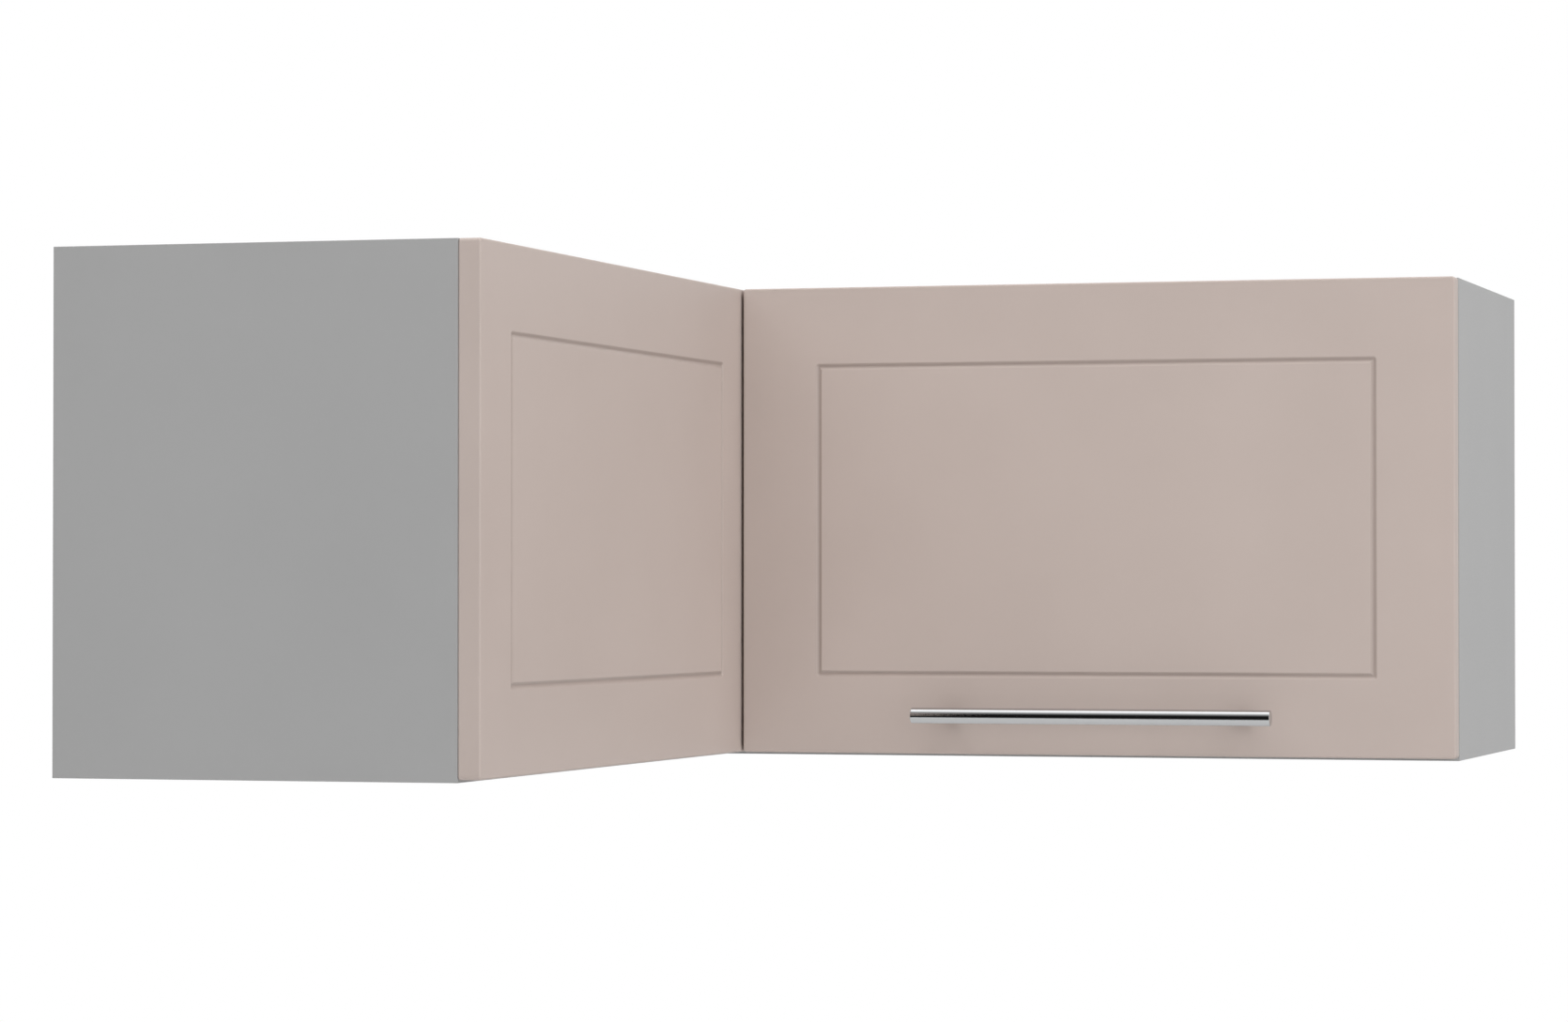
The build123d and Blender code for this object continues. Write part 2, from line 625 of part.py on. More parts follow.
# ================================================================ hinges
PIN_RADIUS = 1.0
PIN_HALF_LENGTH = 8.6
KNUCKLE_RADIUS = 1.9
HOOK_SHEET = 2.4
HOOK_HALF_WIDTH = 4.5
HOOK_BEND = 2.5
CHANNEL_HALF_WIDTH = 8.0
CHANNEL_WALL = 1.4
CHANNEL_START = 30.0  # all behind the door's face
CHANNEL_END = 80.0
CHANNEL_TOP = 19.2  # below the door's top
CHANNEL_FLOOR = 24.4
CHANNEL_BOTTOM = 26.8
ADJUSTER_PLACES = (47.0, 68.0)
ADJUSTER_RADIUS = 2.0
ADJUSTER_HEAD_RADIUS = 3.2
RAIL_BOTTOM = 23.4
RAIL = (12.4, 38.0)
PLATE_BASE = (18.0, 48.0)
PLATE_WINGS = (50.0, 17.0)
PLATE_MIDDLE = 60.0


def hinge_cup(x):
    """A thin pressed cup with its screwed flange; the pin's ends sit in its wall."""
    door_back = Plane.XZ.offset(-DOOR_BACK_Y)
    middle_z = HEIGHT - CUP_BELOW_TOP
    with BuildPart() as cup:
        with BuildSketch(door_back):
            with Locations((x, middle_z)):
                Circle(CUP_RADIUS)
        extrude(amount=CUP_DEPTH)
        with BuildSketch(door_back) as flange:
            with Locations((x, HEIGHT - FLANGE_SCREW_BELOW_TOP)):
                Rectangle(FLANGE_LENGTH, FLANGE_HEIGHT)
            chamfer(flange.vertices(), FLANGE_CORNER)
            with Locations((x, middle_z)):
                Circle(CUP_RADIUS)
        extrude(amount=-FLANGE)
        with BuildSketch(Plane.XZ.offset(-DOOR_BACK_Y - FLANGE)):
            with Locations((x, middle_z)):
                Circle(CUP_RADIUS - CUP_WALL)
        extrude(amount=FLANGE + CUP_DEPTH - CUP_WALL, mode=Mode.SUBTRACT)
        with BuildSketch(Plane.YZ.offset(x)):
            with Locations(PIVOT):
                RegularPolygon(PIN_RADIUS, SIDES, major_radius=False)
        extrude(amount=PIN_HALF_LENGTH, both=True, mode=Mode.SUBTRACT)
        with Locations(*HINGE_CUP_SCREWS):
            add(SHORT_BORE, mode=Mode.SUBTRACT)
    return cup.part


def hinge_pin(x):
    """The pin across the cup."""
    with BuildPart() as pin:
        with BuildSketch(Plane.YZ.offset(x)):
            with Locations(PIVOT):
                RegularPolygon(PIN_RADIUS, SIDES)
        extrude(amount=PIN_HALF_LENGTH, both=True)
    return pin.part


def hinge_arm(x):
    """The hooked arm: a knuckle on the pin, a leg out of the cup and a channel."""
    channel_middle = CHANNEL_BOTTOM - HOOK_SHEET / 2
    hook = [
        PIVOT,
        in_door(PIVOT_BEHIND_FACE, CHANNEL_TOP - HOOK_BEND),
        in_door(PIVOT_BEHIND_FACE + HOOK_BEND, CHANNEL_TOP),
        in_door(CHANNEL_START - 3, CHANNEL_TOP),
        in_door(CHANNEL_START + 9, channel_middle),
        in_door(CHANNEL_END, channel_middle),
    ]
    middle = Plane.YZ.offset(x)
    with BuildPart() as arm:
        with BuildSketch(middle):
            with BuildLine():
                Polyline(*hook)
            trace(line_width=HOOK_SHEET)
            with Locations(PIVOT):
                Circle(KNUCKLE_RADIUS)
        extrude(amount=HOOK_HALF_WIDTH, both=True)
        with BuildSketch(middle):
            with BuildLine():
                Polyline(
                    in_door(CHANNEL_START, CHANNEL_TOP),
                    in_door(CHANNEL_END, CHANNEL_TOP),
                    in_door(CHANNEL_END, CHANNEL_BOTTOM),
                    in_door(CHANNEL_START + 9, CHANNEL_BOTTOM),
                    in_door(CHANNEL_START, CHANNEL_TOP + 3),
                    close=True,
                )
            make_face()
        extrude(amount=CHANNEL_HALF_WIDTH, both=True)
        with BuildSketch(middle):
            with Locations(in_door(CHANNEL_START + 10, CHANNEL_FLOOR)):
                length = CHANNEL_END - CHANNEL_START - 10
                Rectangle(length, CHANNEL_FLOOR - CHANNEL_TOP, align=(Align.MIN, Align.MIN))
        extrude(amount=CHANNEL_HALF_WIDTH - CHANNEL_WALL, both=True, mode=Mode.SUBTRACT)
        with BuildSketch(middle):
            with Locations(PIVOT):
                RegularPolygon(PIN_RADIUS + RUNNING, SIDES, major_radius=False)
        extrude(amount=HOOK_HALF_WIDTH, both=True, mode=Mode.SUBTRACT)
        with BuildSketch(Plane.XY.offset(HEIGHT - CHANNEL_FLOOR)):
            with Locations(*[(x, DOOR_FACE_Y + place) for place in ADJUSTER_PLACES]):
                RegularPolygon(ADJUSTER_RADIUS + CLEARANCE, SIDES)
        extrude(amount=-HOOK_SHEET, mode=Mode.SUBTRACT)
    return arm.part


def hinge_plate(x):
    """The mounting plate under the top board: a cross-shaped base and a rail."""
    with BuildPart() as plate:
        with BuildSketch(Plane.XY.offset(INNER_TOP)):
            with Locations((x, DOOR_FACE_Y + PLATE_MIDDLE)):
                Rectangle(*PLATE_BASE)
            with Locations((x, DOOR_FACE_Y + PLATE_SCREW_BEHIND_FACE)):
                Rectangle(*PLATE_WINGS)
        extrude(amount=-PLATE_SHEET)
        with BuildSketch(Plane.XY.offset(INNER_TOP - PLATE_SHEET)):
            with Locations((x, DOOR_FACE_Y + PLATE_MIDDLE)):
                Rectangle(*RAIL)
        extrude(amount=BOARD + PLATE_SHEET - RAIL_BOTTOM)
        with BuildSketch(Plane.XY.offset(HEIGHT - RAIL_BOTTOM)):
            with Locations(*[(x, DOOR_FACE_Y + place) for place in ADJUSTER_PLACES]):
                RegularPolygon(ADJUSTER_RADIUS + CLEARANCE, SIDES)
        extrude(amount=RAIL_BOTTOM - BOARD - PLATE_SHEET, mode=Mode.SUBTRACT)
        with Locations(*HINGE_PLATE_SCREWS):
            add(SHORT_BORE, mode=Mode.SUBTRACT)
    return plate.part


def hinge_adjusters():
    """The screws that hold and set each hinge arm on its plate."""
    reach = CHANNEL_BOTTOM - BOARD - PLATE_SHEET - 1.0
    planes = [
        plane_at((x, DOOR_FACE_Y + place, HEIGHT - CHANNEL_BOTTOM), (0, 0, -1))
        for x in HINGE_XS
        for place in ADJUSTER_PLACES
    ]
    return group(screw((ADJUSTER_HEAD_RADIUS, ADJUSTER_RADIUS, reach)), planes)


# ================================================================ lift stay
HOUSING_SIZE = (119.0, 30.0)
HOUSING_HUB = 15.0  # main pin to the housing's near end
HOUSING_CORNER = 7.0
HOUSING_CHAMFER = 1.5
MAIN_PIN_RADIUS = 4.0
MAIN_PIN_SEAT = 8.0  # depth in the housing
LINK_PIN_RADIUS = 3.0
PIN_HEAD = 1.5
OPEN_PIVOT_PLAY = 0.3
LUG_REACH = 6.5  # from its pin's middle to its rounded tip
LUG_CORNER = 3.0
LUG_ROOT = 10.0


def stay_housing():
    """The sprung unit's case on the side panel, wide round its main pin."""
    with BuildPart() as housing:
        with BuildSketch(Plane.YZ.offset(HOUSING_X)):
            with Locations((STAY_MAIN[0] - HOUSING_HUB, STAY_MAIN[1])):
                Rectangle(*HOUSING_SIZE, align=(Align.MIN, Align.CENTER))
        extrude(amount=STAY_HOUSING)
        chamfer(housing.edges().filter_by(Axis.X), HOUSING_CORNER)
        chamfer(housing.faces().sort_by(Axis.X)[0].edges(), HOUSING_CHAMFER)
        with BuildSketch(Plane.YZ.offset(HOUSING_X)):
            with Locations(STAY_MAIN):
                Circle(MAIN_PIN_RADIUS)
        extrude(amount=MAIN_PIN_SEAT, mode=Mode.SUBTRACT)
        with Locations(*STAY_HOUSING_SCREWS):
            add(LONG_BORE, mode=Mode.SUBTRACT)
    return housing.part


def link(low_x, ends, radii, bores):
    """A flat link between two (Y, Z) ends, with a bore at each."""
    with BuildPart() as bar:
        with BuildSketch(Plane.YZ.offset(low_x)):
            with Locations(ends[0]):
                Circle(radii[0])
            with Locations(ends[1]):
                Circle(radii[1])
            make_hull()
            with Locations(ends[0]):
                Circle(bores[0], mode=Mode.SUBTRACT)
            with Locations(ends[1]):
                Circle(bores[1], mode=Mode.SUBTRACT)
        extrude(amount=STAY_LINK)
    return bar.part


def headed_pin(centre, radius, head_x, end_x, head_radius):
    """A pin along X at a (Y, Z) centre, its six-sided head on the low X side."""
    with BuildPart() as pin:
        with BuildSketch(Plane.YZ.offset(head_x)):
            with Locations(centre):
                RegularPolygon(head_radius, 6)
        extrude(amount=PIN_HEAD)
        with BuildSketch(Plane.YZ.offset(head_x)):
            with Locations(centre):
                Circle(radius)
        extrude(amount=end_x - head_x)
    return pin.part


def stay_door_bracket():
    """The angle on the door's back whose lug takes the arm."""
    root = DOOR_BACK_Y + BRACKET_SHEET
    tip = STAY_DOOR[0] + LUG_REACH
    lug = [
        (root, STAY_DOOR[1] + LUG_ROOT),
        (STAY_DOOR[0] + LUG_CORNER, STAY_DOOR[1] + LUG_REACH),
        (tip, STAY_DOOR[1] + LUG_CORNER),
        (tip, STAY_DOOR[1] - LUG_CORNER),
        (STAY_DOOR[0] + LUG_CORNER, STAY_DOOR[1] - LUG_REACH),
        (root, STAY_DOOR[1] - LUG_ROOT),
    ]
    with BuildPart() as bracket:
        with BuildSketch(Plane.XZ.offset(-DOOR_BACK_Y)):
            with Locations((LUG_X + STAY_LINK - BRACKET_WIDTH / 2, STAY_DOOR[1])):
                Rectangle(BRACKET_WIDTH, BRACKET_HEIGHT)
        extrude(amount=-BRACKET_SHEET)
        with BuildSketch(Plane.YZ.offset(LUG_X)):
            with BuildLine():
                Polyline(*lug, close=True)
            make_face()
            with Locations(STAY_DOOR):
                Circle(LINK_PIN_RADIUS, mode=Mode.SUBTRACT)
        extrude(amount=STAY_LINK)
        with Locations(*BRACKET_SCREWS):
            add(SHORT_BORE, mode=Mode.SUBTRACT)
    return bracket.part


# ================================================================ hangers
HANGER_SLOT = (6.4, 3.2)  # off the panel, and how wide
HOOK_PLATE = (6.7, 2.6)
HOOK_REACH = HANGER_DEPTH + SIDE_PLAY + BACK_FACE - 2.5
HANGER_SCREW_HEIGHTS = (20.0, 43.0)
HANGER_WELL_RADIUS = 3.6
HANGER_SCREW_RADIUS = 3.3
HANGER_WELL = 12.0


def hanger_wells(plane, sign):
    """Planes on the room side of a case, one for each of its screws."""
    return [
        plane_at(plane.from_local_coords((0, height, HANGER_THICKNESS / 2)), plane.x_dir * -sign)
        for height in HANGER_SCREW_HEIGHTS
    ]


def hanger_case(plane, sign):
    """The plastic case: two pegs in the panel, a slot for the hook, two screw wells."""
    inwards = Axis(plane.origin, plane.x_dir * sign)
    with BuildPart() as case:
        with BuildSketch(plane):
            with Locations((sign * HANGER_DEPTH / 2, HANGER_HEIGHT / 2)):
                Rectangle(HANGER_DEPTH, HANGER_HEIGHT)
        extrude(amount=HANGER_THICKNESS)
        chamfer(case.faces().sort_by(inwards)[0].edges(), 1.5)
        with BuildSketch(plane):
            with Locations(*[(sign * x, y) for x, y in HANGER_PEGS]):
                RegularPolygon(HANGER_PEG_RADIUS, SIDES)
        extrude(amount=-HANGER_PEG)
        with BuildSketch(plane.offset(HANGER_SLOT[0])):
            with Locations((sign * (HANGER_DEPTH + 16) / 2, 35)):
                Rectangle(HANGER_DEPTH - 16, 42)
        extrude(amount=HANGER_SLOT[1], mode=Mode.SUBTRACT)
        with Locations(*hanger_wells(plane, sign)):
            add(rod((HANGER_WELL_RADIUS, -HANGER_WELL, 0)), mode=Mode.SUBTRACT)
    return case.part


def hanger_hook(plane, sign):
    """The flat steel hook: a tongue in the case and a lip that drops over a wall rail."""
    outline = [
        (18, 20),
        (18, 50),
        (HOOK_REACH, 50),
        (HOOK_REACH, 34),
        (HOOK_REACH - 3, 34),
        (HOOK_REACH - 3, 42),
        (43, 42),
        (43, 20),
    ]
    with BuildPart() as hook:
        with BuildSketch(plane.offset(HOOK_PLATE[0])):
            with BuildLine():
                Polyline(*[(sign * x, y) for x, y in outline], close=True)
            make_face()
        extrude(amount=HOOK_PLATE[1])
    return hook.part


def hanger_screws():
    """The levelling and clamping screws, sunk in the wells of the three cases."""
    planes = [plane for hanger in HANGERS.values() for plane in hanger_wells(*hanger)]
    return group(rod((HANGER_SCREW_RADIUS, -HANGER_WELL, -1)), planes)


# ================================================================ knock-down fittings
def front_angle(plane):
    """A pressed steel angle with a folded gusset, from the carcass to the fixed front."""
    leg = FRONT_ANGLE_LEG
    sheet = FRONT_ANGLE_SHEET
    outline = [(0, 0), (leg, 0), (leg, sheet), (sheet, sheet), (sheet, leg), (0, leg)]
    gusset = [(sheet, sheet), (sheet + 5, sheet), (sheet, sheet + 5)]
    with BuildPart() as angle:
        with BuildSketch(plane):
            with BuildLine():
                Polyline(*outline, close=True)
            make_face()
        extrude(amount=FRONT_ANGLE_WIDTH / 2, both=True)
        with BuildSketch(plane):
            with BuildLine():
                Polyline(*gusset, close=True)
            make_face()
        extrude(amount=1.5, both=True)
        with Locations(carcass_angle_screw(plane), front_angle_screw(plane)):
            add(SHORT_BORE, mode=Mode.SUBTRACT)
    return angle.part


def front_angles():
    """The four angles as one node."""
    with BuildPart() as angles:
        for plane in FRONT_ANGLES.values():
            add(front_angle(plane))
    return angles.part


def cam_housing():
    """A cam, its face at Z 0, open along X for the bolt's head."""
    body = rod((CAM_RADIUS, -CAM_DEPTH, 0), sides=HIDDEN_SIDES)
    throat = rod((CAM_BOLT_BORE, -CAM_RADIUS - CLEARANCE, 0), sides=HIDDEN_SIDES)
    mouth = plane_at((CAM_RADIUS, 0, -BOARD / 2), (1, 0, 0))
    with BuildPart() as cam:
        add(body)
        with Locations(mouth):
            add(throat, mode=Mode.SUBTRACT)
    return cam.part


def cam_bolts():
    """The bolts: screwed into the side panels, their heads inside the cams."""
    radius, thread_length = CAM_BOLT_THREAD
    head_radius, head_length = CAM_BOLT_HEAD
    shoulder = CAM_DISTANCE - head_length
    steps = (radius, -thread_length, shoulder), (head_radius, shoulder, CAM_DISTANCE)
    return group(rod(*steps, sides=HIDDEN_SIDES), seam_planes(LEFT_SEAM) + seam_planes(RIGHT_SEAM))


def wood_dowels():
    """The ribbed dowels beside the cam bolts."""
    planes = seam_planes(LEFT_SEAM, DOWEL_OFFSET) + seam_planes(RIGHT_SEAM, DOWEL_OFFSET)
    dowel = rod((DOWEL_RADIUS, -DOWEL_IN_SIDE, DOWEL_IN_BOARD), sides=HIDDEN_SIDES)
    return group(dowel, planes)


def cam_caps():
    """The plastic covers over the cams."""
    return group(rod((CAM_CAP_RADIUS, 0, CAM_CAP), sides=BUTTON_SIDES), cam_planes())


def euro_screws():
    """The screws that hold the uprights between the boards, flush with each outer face."""
    head_radius, head = EURO_HEAD
    body = rod((head_radius, -head, 0), (EURO_THREAD_RADIUS, -EURO_LENGTH, -head))
    with BuildPart() as euro:
        add(body)
        with BuildSketch():
            RegularPolygon(EURO_KEY_RADIUS, 6)
        extrude(amount=-head + 1, mode=Mode.SUBTRACT)
    return group(euro.part, EURO_TOPS + EURO_BOTTOMS)


# ================================================================ write every piece
def main():
    """Build the pieces and write one file for each node."""
    os.makedirs("parts", exist_ok=True)
    short_screw = screw(SHORT_SCREW)
    long_screw = screw(LONG_SCREW)
    save(corner_board("bottom"), "bottom_panel")
    save(corner_board("top"), "top_panel")
    save(left_end_panel(), "left_end_panel")
    save(right_side_panel(), "right_side_panel")
    save(corner_strip_front(), "corner_strip_front")
    save(corner_strip_side(), "corner_strip_side")
    save(rear_corner_post(), "rear_corner_post")
    save(rear_back_panel(), "rear_back_panel")
    save(left_back_panel(), "left_back_panel")
    save(left_front_panel(), "left_front_panel")
    save(front_angles(), "front_angles")
    angle_screws = [carcass_angle_screw(angle) for angle in FRONT_ANGLES.values()]
    angle_screws += [front_angle_screw(angle) for angle in FRONT_ANGLES.values()]
    save(group(short_screw, angle_screws), "front_angle_screws")
    save(group(long_screw, POST_SCREWS), "front_post_screws")
    save(group(cam_housing(), cam_planes()), "cam_housings")
    save(cam_bolts(), "cam_bolts")
    save(cam_caps(), "cam_caps")
    save(wood_dowels(), "wood_dowels")
    save(euro_screws(), "euro_screws")
    for name, (plane, sign) in HANGERS.items():
        save(hanger_case(plane, sign), f"hanger_case_{name}")
        save(hanger_hook(plane, sign), f"hanger_hook_{name}")
    save(hanger_screws(), "hanger_screws")

    save(door_panel(), "door_panel")
    save(handle_bar(), "handle_bar")
    save(pair(handle_post, HANDLE_XS), "handle_posts")
    save(handle_screws(), "handle_screws")
    save(door_bumpers(), "door_bumpers")

    save(pair(hinge_cup, HINGE_XS), "hinge_cups")
    save(pair(hinge_pin, HINGE_XS), "hinge_pins")
    save(pair(hinge_arm, HINGE_XS), "hinge_arms")
    save(pair(hinge_plate, HINGE_XS), "hinge_plates")
    save(group(short_screw, HINGE_CUP_SCREWS), "hinge_cup_screws")
    save(group(short_screw, HINGE_PLATE_SCREWS), "hinge_plate_screws")
    save(hinge_adjusters(), "hinge_adjusters")

    save(stay_housing(), "stay_housing")
    save(group(long_screw, STAY_HOUSING_SCREWS), "stay_housing_screws")
    lever_bores = (MAIN_PIN_RADIUS + RUNNING, LINK_PIN_RADIUS)
    save(link(LEVER_X, (STAY_MAIN, STAY_KNEE), (8.0, 7.0), lever_bores), "stay_lever")
    arm_bores = (LINK_PIN_RADIUS + RUNNING, LINK_PIN_RADIUS + OPEN_PIVOT_PLAY)
    save(link(ARM_X, (STAY_KNEE, STAY_DOOR), (6.5, 6.5), arm_bores), "stay_arm")
    save(stay_door_bracket(), "stay_door_bracket")
    save(group(short_screw, BRACKET_SCREWS), "stay_bracket_screws")
    main_head_x = LEVER_X - SIDE_PLAY - PIN_HEAD
    main_end_x = HOUSING_X + MAIN_PIN_SEAT
    save(headed_pin(STAY_MAIN, MAIN_PIN_RADIUS, main_head_x, main_end_x, 6.5), "stay_main_pin")
    knee_head_x = ARM_X - SIDE_PLAY - PIN_HEAD
    knee_end_x = LEVER_X + STAY_LINK
    save(headed_pin(STAY_KNEE, LINK_PIN_RADIUS, knee_head_x, knee_end_x, 5.0), "stay_knee_pin")
    door_head_x = LUG_X - PIN_HEAD
    door_end_x = ARM_X + STAY_LINK
    save(headed_pin(STAY_DOOR, LINK_PIN_RADIUS, door_head_x, door_end_x, 5.0), "stay_bracket_pin")


main()
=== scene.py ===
"""Looks of the corner wall cabinet.

Two wings meet in a corner. The left wing has a fixed front, the right wing a door that
swings up on two cup hinges and a lift stay. The boards, backs, hinges, angles, hangers,
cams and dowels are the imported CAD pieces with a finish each. The fronts, the handle, the
stay's case and links, and the screws, pins, caps and bumpers are modelled here. They have
the places of the CAD pieces that they stand for and ride on the same bodies.
"""

import json
import logging
import math
from collections.abc import Iterable, Sequence
from dataclasses import dataclass
from enum import Enum

import bmesh
import bpy
from mathutils import Matrix, Vector


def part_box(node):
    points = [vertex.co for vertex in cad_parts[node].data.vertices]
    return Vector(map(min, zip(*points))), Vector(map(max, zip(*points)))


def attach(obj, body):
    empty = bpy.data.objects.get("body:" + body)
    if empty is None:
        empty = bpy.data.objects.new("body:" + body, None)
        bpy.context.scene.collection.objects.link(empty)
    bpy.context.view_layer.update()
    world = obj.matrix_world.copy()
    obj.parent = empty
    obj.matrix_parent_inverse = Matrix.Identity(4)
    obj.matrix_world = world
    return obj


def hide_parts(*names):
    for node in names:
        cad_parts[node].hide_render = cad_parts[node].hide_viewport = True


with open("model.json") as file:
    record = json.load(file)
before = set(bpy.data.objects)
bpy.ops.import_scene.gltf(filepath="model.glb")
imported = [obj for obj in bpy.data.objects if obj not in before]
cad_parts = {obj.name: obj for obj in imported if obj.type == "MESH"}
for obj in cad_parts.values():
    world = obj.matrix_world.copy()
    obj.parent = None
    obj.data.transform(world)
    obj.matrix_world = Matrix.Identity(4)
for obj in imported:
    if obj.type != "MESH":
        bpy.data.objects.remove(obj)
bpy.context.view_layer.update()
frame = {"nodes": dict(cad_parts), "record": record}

LOG = logging.getLogger("corner_cabinet")
MILLIMETRE = 0.001
# Corners nearer to each other than this are one corner.
SAME_CORNER = 0.001 * MILLIMETRE
# Corners this near to a plane lie in it.
IN_PLANE = 0.01 * MILLIMETRE
# Lengths up to this count as none.
NEGLIGIBLE = 0.1 * MILLIMETRE
# A share below this still counts as no more than the whole, in spite of rounding.
WHOLE = 1.01
# A face looks straight along an axis above this part of its normal.
STRAIGHT_ON = 0.99
# A face looks more sideways than along an axis below this part of its normal.
SIDEWAYS = 0.5
# Edges above this angle stay crisp, in degrees.
SHARP_ANGLE = 34.0
# The sides of a hexagon.
HEXAGON = 6
# The mesh attribute that says how deep a front is milled, from 0 to 1, and so how much painted shade the
# foil gets there.
PAINTED_GROOVE_SHADE = "painted_groove_shade"

Colour = tuple[float, float, float, float]
Place = tuple[float, float, float]
Step = tuple[float, float]
Corners = list[bmesh.types.BMVert]
Shape = bmesh.types.BMesh

# The highest level of a screen colour's channel.
BRIGHTEST = 255
WHITE: Colour = (1.0, 1.0, 1.0, 1.0)
BLACK: Colour = (0.0, 0.0, 0.0, 1.0)


def mm(*values: float) -> tuple[float, ...]:
    """Turns millimetres into metres.

    Args:
        values: Lengths in millimetres.

    Returns:
        The same lengths in metres.
    """
    return tuple(value * MILLIMETRE for value in values)


def linear(level: int) -> float:
    """Turns one channel of a screen colour into the linear one that a shader takes.

    Args:
        level: The channel, 0 to 255.

    Returns:
        The linear channel, 0 to 1.
    """
    share = level / BRIGHTEST
    return share / 12.92 if share <= 0.04045 else ((share + 0.055) / 1.055) ** 2.4


def colour(red: int, green: int, blue: int) -> Colour:
    """Turns a screen colour into the linear one that a shader takes.

    Args:
        red: Red, 0 to 255.
        green: Green, 0 to 255.
        blue: Blue, 0 to 255.

    Returns:
        Linear red, green, blue and an alpha of one.
    """
    return linear(red), linear(green), linear(blue), 1.0


def darker(base: Colour, share: float) -> Colour:
    """A darker tone of a colour.

    Args:
        base: The colour.
        share: How much of its light is left.

    Returns:
        The tone.
    """
    return *(share * level for level in base[:3]), 1.0


def once(items: Iterable) -> list:
    """Drops what comes again.

    Args:
        items: Parts of a mesh, some of them more than once.

    Returns:
        Each of them once, in the same order.
    """
    return list(dict.fromkeys(items))


# ---------------------------------------------------------------- shader graph


Operand = "Value | float"


class Value:
    """One output in a shader graph, with the usual arithmetic for those that are numbers."""

    def __init__(self, graph: "Graph", socket: bpy.types.NodeSocket) -> None:
        """Wraps one output socket of a graph."""
        self.graph = graph
        self.socket = socket

    def _math(self, operation: str, *operands: Operand) -> "Value":
        """The result of one Math node, with what goes into its inputs in order."""
        inputs = dict(enumerate(operands))
        return self.graph.add("ShaderNodeMath", {"operation": operation}, inputs)

    def __add__(self, other: Operand) -> "Value":
        """This number plus another."""
        return self._math("ADD", self, other)

    def __radd__(self, other: float) -> "Value":
        """Another number plus this one."""
        return self._math("ADD", other, self)

    def __sub__(self, other: Operand) -> "Value":
        """This number less another."""
        return self._math("SUBTRACT", self, other)

    def __rsub__(self, other: float) -> "Value":
        """Another number less this one."""
        return self._math("SUBTRACT", other, self)

    def __mul__(self, other: Operand) -> "Value":
        """This number times another."""
        return self._math("MULTIPLY", self, other)

    def __rmul__(self, other: float) -> "Value":
        """Another number times this one."""
        return self._math("MULTIPLY", other, self)

    def __truediv__(self, other: Operand) -> "Value":
        """This number over another."""
        return self._math("DIVIDE", self, other)

    def __rtruediv__(self, other: float) -> "Value":
        """Another number over this one."""
        return self._math("DIVIDE", other, self)

    def __pow__(self, other: Operand) -> "Value":
        """This number to the power of another."""
        return self._math("POWER", self, other)

    def __rpow__(self, other: float) -> "Value":
        """Another number to the power of this one."""
        return self._math("POWER", other, self)

    def __gt__(self, other: Operand) -> "Value":
        """1 where this number is above another, 0 elsewhere."""
        return self._math("GREATER_THAN", self, other)

    def __lt__(self, other: Operand) -> "Value":
        """1 where this number is below another, 0 elsewhere."""
        return self._math("LESS_THAN", self, other)

    def spread(self, low: float, high: float) -> "Value":
        """This number stretched from 0…1 to low…high."""
        return self * (high - low) + low


